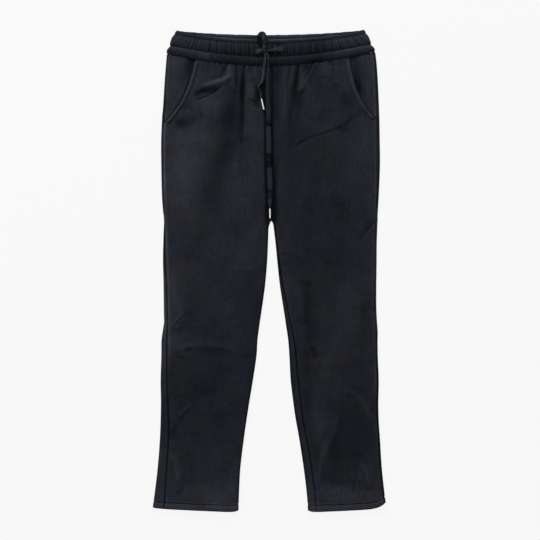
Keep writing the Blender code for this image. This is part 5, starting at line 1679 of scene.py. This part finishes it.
@dataclass(frozen=True)
class Tip:
    """A plain metal tube crimped on the end of a tape.

    Attributes:
        name: the piece's name.
        start: its (x, height) at the tape.
        end: its (x, height) at its free end.
        radius: its outside radius.
        profile: (distance from the tape's end, share of the radius) down its side; a
            share below the rim's at both ends gives the turned-in lips.
    """

    name: str
    start: Place
    end: Place
    radius: float = 2.3
    profile: tuple[Place, ...] = (
        (1.6, 0.0), (1.6, 0.66), (0.25, 0.74), (0.0, 0.84), (0.15, 0.95), (0.6, 1.03), (1.2, 1.04), (1.8, 1.0),
        (2.6, 0.985), (3.4, 1.0), (8.0, 1.0), (12.0, 1.0), (16.0, 1.0), (20.4, 1.0), (21.4, 0.99), (22.2, 1.03),
        (22.9, 1.03), (23.4, 0.95), (23.6, 0.84), (23.3, 0.72), (21.0, 0.66), (21.0, 0.0),
    )

    def build(self, ground: BVHTree) -> bpy.types.Object:
        """Build the tube: its profile turned about its axis in 40 steps.

        Args:
            ground: the surface it lies on.

        Returns:
            The tip.
        """
        start, end = np.array(self.start), np.array(self.end)
        run = end - start
        span = float(np.hypot(*run))
        along = run / span
        side = np.array([-along[1], along[0]])
        spots = start + run * np.linspace(0.0, 1.0, 9)[:, None]
        base = max(
            float(top_of(ground, spots[:, 0] + side[0] * s, spots[:, 1] + side[1] * s).max())
            for s in (-self.radius, 0.0, self.radius)
        )
        centre = base + 0.35 + self.radius
        turn = np.linspace(0.0, 2 * math.pi, 40, endpoint=False)[None, :]
        place, share = (np.array(column)[:, None] for column in zip(*self.profile))
        place = place * span / 23.6
        a = share * self.radius * np.cos(turn)
        x = start[0] + along[0] * place + side[0] * a
        y = start[1] + along[1] * place + side[1] * a
        z = centre + share * self.radius * np.sin(turn)
        points = np.stack([x, y, z], axis=-1)
        flat = points.reshape(-1, 3)
        level = 0 * place
        outward = np.stack([
            side[0] * np.cos(turn) + level, side[1] * np.cos(turn) + level, np.sin(turn) + level,
        ], axis=-1)
        faces = grid_faces(len(place), 40, round_columns=True)
        middle = faces[9 * 40:12 * 40]
        if faces_outwards(flat, middle, outward.reshape(-1, 3)) is not middle:
            faces = faces[:, ::-1]
        # Painted highlight: only a stripe along the top of the tube keeps its colour; its sides, underside and ends are
        # painted dark as shade.
        painted_highlight = ease((0.62 - np.abs(np.cos(turn))) / 0.3) * (np.sin(turn) > 0) * ((place > 1.7) & (place < span - 1.4))
        tone = np.broadcast_to(-0.95 * (1.0 - painted_highlight), x.shape).reshape(-1)
        uv = np.stack([turn * self.radius + 0 * place, place + 0 * turn], axis=-1) * MM
        return make_object(self.name, flat, faces, uv.reshape(-1, 2), tone, weld=True)


# ---------------------------------------------------------------- stitching

@dataclass(frozen=True)
class StitchLine:
    """A row of machine stitches: its (x, height) points, pitch, length and thread radius."""

    line: tuple[Place, ...]
    pitch: float = 3.6
    length: float = 2.7
    radius: float = 0.42


def stitch_mesh(name: str, lines: Iterable[StitchLine], ground: BVHTree, sink: float = 0.12) -> bpy.types.Object:
    """One mesh of all the stitches of some rows.

    Formula: each stitch is a short rounded thread, four rings of six points whose
    radius follows sqrt(1 - s^2) and which dips into the cloth at both ends.

    Args:
        name: the piece's name.
        lines: the rows.
        ground: the surface they are sewn into.
        sink: how far a stitch's middle lies in the cloth.

    Returns:
        The stitches.
    """
    share = np.array([-1.0, -0.72, 0.0, 0.72, 1.0])
    turn = np.linspace(0.0, 2 * math.pi, 6, endpoint=False)
    points, faces, start = [], [], 0
    for line in lines:
        route = smooth_route(line.line, line.pitch)
        run = np.gradient(route, axis=0)
        run = unit(run)
        side = np.stack([-run[:, 1], run[:, 0]], axis=-1)
        level = top_of(ground, route[:, 0], route[:, 1]) - sink
        on_cloth = level > 2.0
        route, run, side, level = route[on_cloth], run[on_cloth], side[on_cloth], level[on_cloth]
        swell = np.sqrt(np.clip(1.05 - share ** 2, 0.02, 1.0))
        a = (swell[:, None] * np.cos(turn)[None, :] * line.radius)[None]
        b = (swell[:, None] * np.sin(turn)[None, :] * line.radius * 0.8 - 0.35 * (share ** 4)[:, None])[None]
        s = (share * line.length / 2)[None, :, None] + 0 * a
        x = route[:, 0, None, None] + run[:, 0, None, None] * s + side[:, 0, None, None] * a
        y = route[:, 1, None, None] + run[:, 1, None, None] * s + side[:, 1, None, None] * a
        z = level[:, None, None] + b + 0 * s
        block = np.stack([x, y, z], axis=-1)
        count = len(route)
        flat = block.reshape(-1, 3)
        ring = grid_faces(5, 6, round_columns=True)
        mids = flat.reshape(count, 30, 3).mean(axis=1)
        outward = flat - np.repeat(mids, 30, axis=0)
        first = faces_outwards(flat[:30], ring, outward[:30])
        flipped = first is not ring
        caps = [[0, 1, 2, 3, 4, 5], [29, 28, 27, 26, 25, 24]]
        if not flipped:
            caps = [cap[::-1] for cap in caps]
        for number in range(count):
            offset = start + number * 30
            faces += (first + offset).tolist() + [[corner + offset for corner in cap] for cap in caps]
        points.append(flat)
        start += len(flat)
    return make_object(name, np.concatenate(points), faces)


# ---------------------------------------------------------------- finishes

def linear(code: str) -> tuple[float, float, float, float]:
    """Turn an sRGB hex colour into linear red, green, blue and alpha.

    Args:
        code: six hex digits after a #.

    Returns:
        The colour as a shader takes it.
    """
    parts = [int(code[i:i + 2], 16) / 255.0 for i in (1, 3, 5)]
    return (*(c / 12.92 if c <= 0.04045 else ((c + 0.055) / 1.055) ** 2.4 for c in parts), 1.0)


def feed(tree: bpy.types.NodeTree, node: bpy.types.Node, *parts: object, **settings: object) -> None:
    """Set a node's properties and inputs, or link sockets into them.

    Args:
        tree: the tree it is in.
        node: the node.
        parts: what its inputs take, in their order: a value, a socket, a node whose
            first output is meant, or None to leave one alone.
        settings: its properties, or what its inputs take by name with _ for spaces, or
            by number as i and the number.
    """
    for key, value in (*settings.items(), *enumerate(parts)):
        if isinstance(key, str):
            if hasattr(node, key):
                setattr(node, key, value)
                continue
            key = int(key[1:]) if key[1:].isdigit() else key.replace("_", " ")
        if isinstance(value, bpy.types.Node):
            value = value.outputs[0]
        if isinstance(value, bpy.types.NodeSocket):
            tree.links.new(value, node.inputs[key])
        elif value is not None:
            node.inputs[key].default_value = value


def add_node(tree: bpy.types.NodeTree, kind: str, *parts: object, **settings: object) -> bpy.types.Node:
    """Add one shader node.

    Args:
        tree: the tree it goes in.
        kind: the node's type name, after ShaderNode.
        parts: what its inputs take, as in feed.
        settings: its properties and named inputs, as in feed.

    Returns:
        The node.
    """
    node = tree.nodes.new("ShaderNode" + kind)
    feed(tree, node, *parts, **settings)
    return node


def shaded(tree: bpy.types.NodeTree, colour: str, level: object) -> bpy.types.Node:
    """A hex colour made lighter or darker by a socket."""
    red, green, blue, _ = linear(colour)
    even = add_node(tree, "CombineColor", Red=red, Green=green, Blue=blue)
    return add_node(tree, "VectorMath", even, operation="SCALE", Scale=level)


def new_material(name: str) -> tuple[bpy.types.Material, bpy.types.NodeTree, bpy.types.Node]:
    """An empty node material with its Principled shader, tree and name."""
    material = bpy.data.materials.new(name)
    material.use_nodes = True
    tree = material.node_tree
    return material, tree, tree.nodes["Principled BSDF"]


@dataclass(frozen=True)
class BrushedCloth:
    """Brushed cotton blend with a very fine lengthwise cord, piece dyed blue-black.

    The raised nap scatters light softly, so that the cloth is nearly matt, with a pale bloom where it turns away from
    the eye, lighter and darker patches where the nap lies differently, and faint lengthwise streaks from the cord below
    it. Its tone attribute also carries painted light and painted shade.

    Attributes:
        name: the material's name.
        colour: the cloth's colour.
        cool: tint of its bluer patches.
        warm: tint of its greyer patches.
        sheen: strength of the bloom.
        cord_pitch: distance between the cord's ribs in millimetres. Real ribs
            would be about 1 mm apart, too fine to show, so they are drawn 2.6 mm apart.
        nap_size: size of the nap's patches in millimetres.
        level: how bright the colour is taken.
        tone_strength: how strongly the tone shows.
    """

    name: str = "brushed_cotton_fine_cord"
    colour: str = "#1e2025"
    cool: str = "#d6efff"
    warm: str = "#f9f2ef"
    sheen: float = 0.06
    cord_pitch: float = 2.6
    nap_size: float = 60.0
    level: float = 1.27
    tone_strength: float = 1.45

    def build(self) -> bpy.types.Material:
        """Build the material.

        Formula: colour * tint * (1 + wear * tone) * (1 + patches + streaks + grain),
        where the tint runs from cool to warm with a noise and the tone. The bloom and the gloss
        stay the same all over; the bump adds the cord's ribs, the streaks and the grain.
        """
        material, tree, shader = new_material(self.name)
        node = partial(add_node, tree)
        place = node("UVMap", uv_map="cut")
        tone = node("Attribute", attribute_name="tone").outputs["Fac"]
        body = node("TexCoord").outputs["Object"]
        patch = node("TexNoise", Vector=body, Scale=1000.0 / self.nap_size, Detail=4.0, Roughness=0.62)
        tint_noise = node("TexNoise", Vector=body, Scale=14.0, Detail=6.0, Roughness=0.78)
        long_map = node("Mapping", Vector=place, Scale=(330.0, 20.0, 1.0))
        streak = node("TexNoise", Vector=long_map, Scale=1.0, Detail=3.0, Roughness=0.6)
        mottle = node("TexNoise", Vector=body, Scale=110.0, Detail=3.0, Roughness=0.6)
        grain = node("TexNoise", Vector=body, Scale=420.0, Detail=2.0, Roughness=0.7)
        fibre_map = node("Mapping", Vector=place, Scale=(900.0, 260.0, 1.0))
        fibre = node("TexNoise", Vector=fibre_map, Scale=1.0, Detail=2.0, Roughness=0.6)
        across = node("SeparateXYZ", place)
        wobble = node("Math", streak, 2.4, operation="MULTIPLY")
        turns = 2 * math.pi * 1000.0 / self.cord_pitch
        phase = node("Math", across, turns, wobble, operation="MULTIPLY_ADD")
        rib = node("Math", phase, operation="SINE")
        # The tone, with its painted light and shade, scales the colour here.
        painted_light_tone = node("Math", tone, self.tone_strength, 1.0, operation="MULTIPLY_ADD")
        painted_light_tone = node("Math", painted_light_tone, 0.12, operation="MAXIMUM")
        total = node("Math", rib, 0.03, 1.0, operation="MULTIPLY_ADD")
        for source, amount in ((patch, 1.3), (streak, 0.75), (mottle, 0.45), (grain, 0.8), (fibre, 0.75)):
            centred = node("Math", source, 0.5, operation="SUBTRACT")
            total = node("Math", centred, amount, total, operation="MULTIPLY_ADD")
        level = node("Math", painted_light_tone, total, operation="MULTIPLY")
        floor = node("Math", level, 0.05, operation="MAXIMUM")
        # The tint follows the tone too, so painted shade is cooler and painted light warmer.
        lit = node("Math", tone, 0.2, tint_noise, operation="MULTIPLY_ADD")
        ramp = node("MapRange", Value=lit, From_Min=0.35, From_Max=0.57)
        tint = node("Mix", ramp, data_type="RGBA", i6=linear(self.cool), i7=linear(self.warm)).outputs[2]
        dye = tuple(part * self.level for part in linear(self.colour)[:3])
        dyed = node("VectorMath", tint, dye, operation="MULTIPLY")
        shown = node("VectorMath", dyed, operation="SCALE", Scale=floor)
        relief = node("Math", rib, 0.12, fibre, operation="MULTIPLY_ADD")
        relief = node("Math", streak, 1.2, relief, operation="MULTIPLY_ADD")
        relief = node("Math", grain, 0.8, relief, operation="MULTIPLY_ADD")
        bump = node("Bump", Height=relief, Strength=0.5, Distance=0.0004)
        feed(
            tree, shader, Base_Color=shown, Normal=bump, Roughness=0.9, Specular_IOR_Level=0.05,
            Sheen_Weight=self.sheen, Sheen_Roughness=0.42, Sheen_Tint=linear("#e4e5ea"),
        )
        return material


@dataclass(frozen=True)
class WovenTape:
    """Polyester twill tape, woven, black: smoother and a little glossier than the cloth.

    Its fine diagonal twill is 0.8 mm apart, drawn 1.5 mm apart so that it shows.

    Attributes:
        name: the material's name.
        colour: the yarn's colour.
        pitch: distance between the twill's diagonals in millimetres.
    """

    name: str = "woven_twill_tape"
    colour: str = "#202328"
    pitch: float = 1.5

    def build(self) -> bpy.types.Material:
        """Build the material: diagonal waves of two directions with yarn grain, scaled by the tone."""
        material, tree, shader = new_material(self.name)
        node = partial(add_node, tree)
        place = node("UVMap", uv_map="cut")
        # The tone attribute carries the tapes' and the knot's painted light and shade.
        tone = node("Attribute", attribute_name="tone").outputs["Fac"]
        turn = (0.0, 0.0, math.radians(38.0))
        turned = node("Mapping", Vector=place, Rotation=turn, Scale=(1000.0 / self.pitch,) * 3)
        parts = node("SeparateXYZ", turned)
        warp = node("Math", parts, 2 * math.pi, operation="MULTIPLY")
        warp = node("Math", warp, operation="SINE")
        weft = node("Math", parts.outputs[1], math.pi, operation="MULTIPLY")
        weft = node("Math", weft, operation="SINE")
        weave = node("Math", warp, weft, operation="MULTIPLY")
        grain = node("TexNoise", Vector=place, Scale=520.0, Detail=3.0, Roughness=0.7)
        total = node("Math", weave, 0.12, tone, operation="MULTIPLY_ADD")
        centred = node("Math", grain, 0.5, operation="SUBTRACT")
        total = node("Math", centred, 0.7, total, operation="MULTIPLY_ADD")
        level = node("Math", total, 1.0, operation="ADD")
        floor = node("Math", level, 0.1, operation="MAXIMUM")
        shown = shaded(tree, self.colour, floor)
        relief = node("Math", grain, weave, operation="ADD")
        bump = node("Bump", Height=relief, Strength=0.45, Distance=0.0003)
        feed(
            tree, shader, Base_Color=shown, Normal=bump, Roughness=0.72, Specular_IOR_Level=0.05,
            Specular_Tint=linear("#d4d8e4"),
        )
        return material


@dataclass(frozen=True)
class SpunThread:
    """Spun polyester sewing thread, black: a slight gloss and a fine twist.

    Attributes:
        name: the material's name.
        colour: the thread's colour.
    """

    name: str
    colour: str = "#16181c"

    def build(self) -> bpy.types.Material:
        """Build the material: a slanted wave for the twist with noise along it."""
        material, tree, shader = new_material(self.name)
        node = partial(add_node, tree)
        body = node("TexCoord").outputs["Object"]
        turned = node("Mapping", Vector=body, Rotation=(0.0, 0.0, 0.7), Scale=(1.0, 1.0, 1.0))
        twist = node("TexWave", Vector=turned, Scale=260.0, Distortion=1.2).outputs["Fac"]
        ramp = node("MapRange", Value=twist, To_Min=0.75, To_Max=1.3)
        shown = shaded(tree, self.colour, ramp)
        bump = node("Bump", Height=twist, Strength=0.4, Distance=0.0001)
        feed(tree, shader, Base_Color=shown, Normal=bump, Roughness=0.7, Specular_IOR_Level=0.08)
        return material


@dataclass(frozen=True)
class PolishedTube:
    """Nickel-plated brass tube, drawn and polished. Its tone paints a highlight along its top and shade down its sides.

    Attributes:
        name: the material's name.
        colour: the plating's colour.
        roughness: the polish's roughness.
    """

    name: str = "polished_nickel_plate"
    colour: str = "#bab9b9"
    roughness: float = 0.14

    def build(self) -> bpy.types.Material:
        """Build the material: metal whose roughness varies with a stretched noise, with a slight bump."""
        material, tree, shader = new_material(self.name)
        node = partial(add_node, tree)
        place = node("UVMap", uv_map="cut")
        drawn = node("Mapping", Vector=place, Scale=(1600.0, 130.0, 1.0))
        marks = node("TexNoise", Vector=drawn, Scale=1.0, Detail=3.0)
        rough = node("MapRange", Value=marks, To_Min=self.roughness * 0.7, To_Max=self.roughness * 1.6)
        bump = node("Bump", Height=marks, Strength=0.08, Distance=0.00005)
        # The tone holds a painted highlight and painted shade, which scale the metal's colour.
        tone = node("Attribute", attribute_name="tone").outputs["Fac"]
        painted_highlight_level = node("Math", tone, 1.0, operation="ADD")
        shown = shaded(tree, self.colour, painted_highlight_level)
        feed(tree, shader, Base_Color=shown, Normal=bump, Roughness=rough, Metallic=1.0)
        return material


# ---------------------------------------------------------------- stage

@dataclass(frozen=True)
class SoftBox:
    """A rectangular lamp: its place, the spot it faces, its size and its power."""

    name: str
    place: tuple[float, float, float]
    size: tuple[float, float]
    power: float
    aim: tuple[float, float, float] = (0.0, 0.0, 0.0)


@dataclass(frozen=True)
class Stage:
    """A plain pale floor, soft studio light and the camera straight above.

    Attributes:
        floor_colour: the floor's colour.
        backdrop: how much of the floor is an even backdrop to the eye; the rest takes
            the garment's shadow.
        ambient: strength of the even light from all round.
        lens: the camera's lens in millimetres.
        frame_width: width of the view at the garment in metres.
        boxes: the lamps.
    """

    floor_colour: str = "#faf9f9"
    backdrop: float = 0.94
    ambient: float = 0.2
    lens: float = 85.0
    frame_width: float = 1.1194
    boxes: tuple[SoftBox, ...] = (
        SoftBox("key", (-1.3, 4.6, 2.4), (3.2, 1.6), 330.0),
        SoftBox("left_strip", (-3.4, 0.2, 1.3), (1.0, 3.0), 36.0),
        SoftBox("right_strip", (3.5, 0.1, 1.3), (1.0, 3.0), 26.0),
        SoftBox("overhead", (0.1, 0.1, 3.6), (3.0, 3.0), 15.0),
    )

    def seen_directly(self, tree: bpy.types.NodeTree) -> bpy.types.NodeSocket:
        """A socket that is 1 for what the eye, polished metal or glass sees, and 0 for light."""
        rays = add_node(tree, "LightPath").outputs
        either = add_node(tree, "Math", rays["Is Camera Ray"], rays["Is Glossy Ray"], operation="MAXIMUM")
        either = add_node(tree, "Math", either, rays["Is Transmission Ray"], operation="MAXIMUM")
        return either.outputs[0]

    def build(self) -> None:
        """Build the floor, the lamps, the world and the camera."""
        mesh = bpy.data.meshes.new("floor")
        side, below = 4.0, -0.0003
        corners = [(-side, -side, below), (side, -side, below), (side, side, below), (-side, side, below)]
        mesh.from_pydata(corners, [], [(0, 1, 2, 3)])
        floor = bpy.data.objects.new("floor", mesh)
        bpy.context.scene.collection.objects.link(floor)
        material, tree, shader = new_material("matt_painted_board")
        feed(tree, shader, Base_Color=linear(self.floor_colour), Roughness=0.95, Specular_IOR_Level=0.0)
        glow = add_node(tree, "Emission", Color=linear(self.floor_colour), Strength=1.0)
        seen = add_node(tree, "Math", self.seen_directly(tree), self.backdrop, operation="MULTIPLY")
        mixed = add_node(tree, "MixShader", seen, shader, glow)
        tree.links.new(mixed.outputs[0], tree.nodes["Material Output"].inputs["Surface"])
        mesh.materials.append(material)
        for box in self.boxes:
            lamp = bpy.data.lights.new(box.name, "AREA")
            lamp.shape = "RECTANGLE"
            lamp.size, lamp.size_y = box.size
            lamp.energy = box.power
            holder = bpy.data.objects.new(box.name, lamp)
            holder.location = box.place
            look = Vector(box.aim) - Vector(box.place)
            holder.rotation_euler = look.to_track_quat("-Z", "Y").to_euler()
            bpy.context.scene.collection.objects.link(holder)
        world = bpy.data.worlds.new("studio")
        world.use_nodes = True
        background = world.node_tree.nodes["Background"]
        seen = self.seen_directly(world.node_tree)
        strength = add_node(world.node_tree, "MapRange", Value=seen, To_Min=self.ambient, To_Max=1.0)
        feed(world.node_tree, background, Color=linear(self.floor_colour), Strength=strength)
        bpy.context.scene.world = world
        camera = bpy.data.cameras.new("camera")
        camera.lens = self.lens
        camera.sensor_width = 36.0
        camera.clip_end = 20.0
        view = bpy.data.objects.new("camera", camera)
        view.location = (0.0011, 0.0021, 0.008 + self.frame_width * self.lens / 36.0)
        bpy.context.scene.collection.objects.link(view)
        bpy.context.scene.camera = view
        bpy.context.scene.view_settings.view_transform = "Standard"


# ---------------------------------------------------------------- assembly

def buttonhole(name: str, x: float, height: float, ground: BVHTree) -> bpy.types.Object:
    """A stitched buttonhole: an upright ring of close bar stitches.

    Formula: a tube round a rounded slot 11 mm tall and 2.6 mm wide, whose radius
    ripples with each stitch.

    Args:
        name: the piece's name.
        x: its place across.
        height: its place up the garment.
        ground: the band's surface.

    Returns:
        The ring.
    """
    t = np.linspace(0.0, 2 * math.pi, 84, endpoint=False)
    corner = np.linspace(0.0, 2 * math.pi, 8, endpoint=False)
    line = np.stack([x + 1.5 * np.sign(np.cos(t)) * np.abs(np.cos(t)) ** 0.6, height + 5.6 * np.sin(t)], axis=-1)
    run = np.roll(line, -1, axis=0) - np.roll(line, 1, axis=0)
    run = unit(run)
    side = np.stack([run[:, 1], -run[:, 0]], axis=-1)
    level = settle(top_of(ground, line[:, 0], line[:, 1]), 4)
    thick = (0.72 + 0.14 * np.sin(t * 28))[:, None]
    a, b = thick * 1.15 * np.cos(corner), thick * np.sin(corner)
    ring = np.stack([
        line[:, :1] + side[:, :1] * a, line[:, 1:] + side[:, 1:] * a, level[:, None] + b + 0.1,
    ], axis=-1)
    flat = ring.reshape(-1, 3)
    outward = (ring - ring.mean(axis=1, keepdims=True)).reshape(-1, 3)
    faces = faces_outwards(flat, grid_faces(84, 8, round_rows=True, round_columns=True), outward)
    return make_object(name, flat, faces, None, np.full(len(flat), 0.2))


def waist_line(rise: float, band: Waistband, start: float, end: float) -> tuple[Place, ...]:
    """Points of a line round the waistband's front at one rise above the seam."""
    x = np.linspace(start, end, 60)
    level = np.full_like(x, rise)
    corner = np.where(x > 0, band.level("left", level), band.level("right", level))
    base = waist_height(x, x / corner, band.level("front_dip", level), band.level("front_power", level))
    height = base + rise * (1.0 - BAND_TAPER * x / WAIST_HALF)
    return tuple(zip(x.tolist(), height.tolist()))


def hem_line(leg: Leg, above: float) -> tuple[Place, ...]:
    """Points of a line across a leg's front at one distance above its hem."""
    share = np.linspace(0.012, 0.988, 50)
    outline = float(leg.column("outer", np.float64(14.0)))
    inner = float(leg.column("inner", np.float64(14.0)))
    x = leg.sign * lerp(outline, inner, share)
    height = leg.hem_height(share) * (1.0 - above / CROTCH_HEIGHT) + above
    return tuple(zip(x.tolist(), height.tolist()))


def pocket_line(leg: Leg, inset: float) -> tuple[Place, ...]:
    """Points of a line beside a pocket opening, an inset in from it."""
    share = np.linspace(0.05, 0.95, 40)
    across, height = leg.pocket_point(share)
    inward = leg.pocket_inward(share, 0.01)
    return tuple(zip((leg.sign * (across + inward[:, 0] * inset)).tolist(), (height + inward[:, 1] * inset).tolist()))


@dataclass
class Trousers:
    """The whole garment: two legs, the waistband, the stitching and the drawstring."""

    legs: tuple[LegPanels, ...] = (LegPanels(RIGHT_LEG), LegPanels(LEFT_LEG))
    band: Waistband = field(default_factory=Waistband)
    knot: Knot = field(default_factory=Knot)
    tips: tuple[Tip, ...] = (
        Tip("drawstring_tip_right_tube", (-16.8, 857.9), (-11.2, 833.2)),
        Tip("drawstring_tip_left_tube", (0.9, 633.8), (1.1, 608.4)),
    )

    def dress(self, obj: bpy.types.Object, material: bpy.types.Material, slot: str, *nodes: str) -> None:
        """Give a piece its material and its place in the frame.

        Args:
            obj: the piece.
            material: its material.
            slot: not used.
            nodes: the CAD nodes it stands for.
        """
        obj.data.materials.clear()
        obj.data.materials.append(material)
        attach(obj, "root")
        if nodes:
            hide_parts(*nodes)
        log.info("%s: %d faces", obj.name, len(obj.data.polygons))

    def build(self) -> None:
        cloth = BrushedCloth().build()
        gathered = BrushedCloth("gathered_cotton_fine_cord", "#1e2126", "#dcf0fa", "#f7f3f5").build()
        tape = WovenTape().build()
        thread = SpunThread("spun_thread").build()
        metal = PolishedTube().build()
        lies_on = {"front_panel": "back_panel", "pocket_facing": "back_panel", "pocket_band": "front_panel"}
        fronts = []
        for panels in self.legs:
            panels.build()
            for kind, obj in panels.pieces.items():
                self.dress(obj, cloth, "cloth", f"{kind}_{panels.leg.name}")
                below = lies_on.get(kind)
                rests = [panels.piece_name(below)] if below else []
                if kind != "back_panel":
                    fronts.append(obj)
        waistband = self.band.build()
        self.dress(waistband, gathered, "cloth", "waistband")
        ground = surface_tree(fronts + [waistband])
        self.build_stitching(ground, thread)
        self.build_drawstring(ground, tape, metal, thread)

    def build_stitching(self, ground: BVHTree, thread: bpy.types.Material) -> None:
        """Sew the hems, the waistband's channels and the pocket bands."""
        lines = []
        for panels in self.legs:
            lines.append(StitchLine(hem_line(panels.leg, 13.8)))
            lines.append(StitchLine(pocket_line(panels.leg, 5.9), radius=0.3))
        for rise in (16.0, 40.4):
            for start, end in ((-196.0, -34.0), (-24.0, 24.0), (34.0, 200.0)):
                lines.append(StitchLine(waist_line(rise, self.band, start, end), radius=0.34))
        stitches = stitch_mesh("topstitching", lines, ground)
        self.dress(stitches, thread, "cloth")

    def build_drawstring(
        self, ground: BVHTree, tape: bpy.types.Material, metal: bpy.types.Material, thread: bpy.types.Material,
    ) -> None:
        """Thread the two tapes out of their buttonholes, knot them and tip them."""
        left, left_path = LEFT_TAPE.build(ground)
        right, right_path = RIGHT_TAPE.build(ground)
        knot = self.knot.build(ground)
        short_tip, long_tip = (tip.build(ground) for tip in self.tips)
        self.dress(left, tape, "tape", "drawstring_lead_left", "drawstring_tail_long")
        self.dress(right, tape, "tape", "drawstring_lead_right", "drawstring_loop", "drawstring_tail_short")
        self.dress(knot, tape, "tape", "drawstring_knot")
        self.dress(short_tip, metal, "tip", "drawstring_tip_short")
        self.dress(long_tip, metal, "tip", "drawstring_tip_long")
        for name, x, height in (("buttonhole_left", 29.6, 958.8), ("buttonhole_right", -30.6, 957.6)):
            self.dress(buttonhole(name, x, height, ground), thread, "cloth")


def main() -> None:
    """Build the stage and the garment."""
    Stage().build()
    Trousers().build()


if __name__ == "__main__":
    logging.basicConfig(level=logging.INFO, format="%(message)s")
    main()
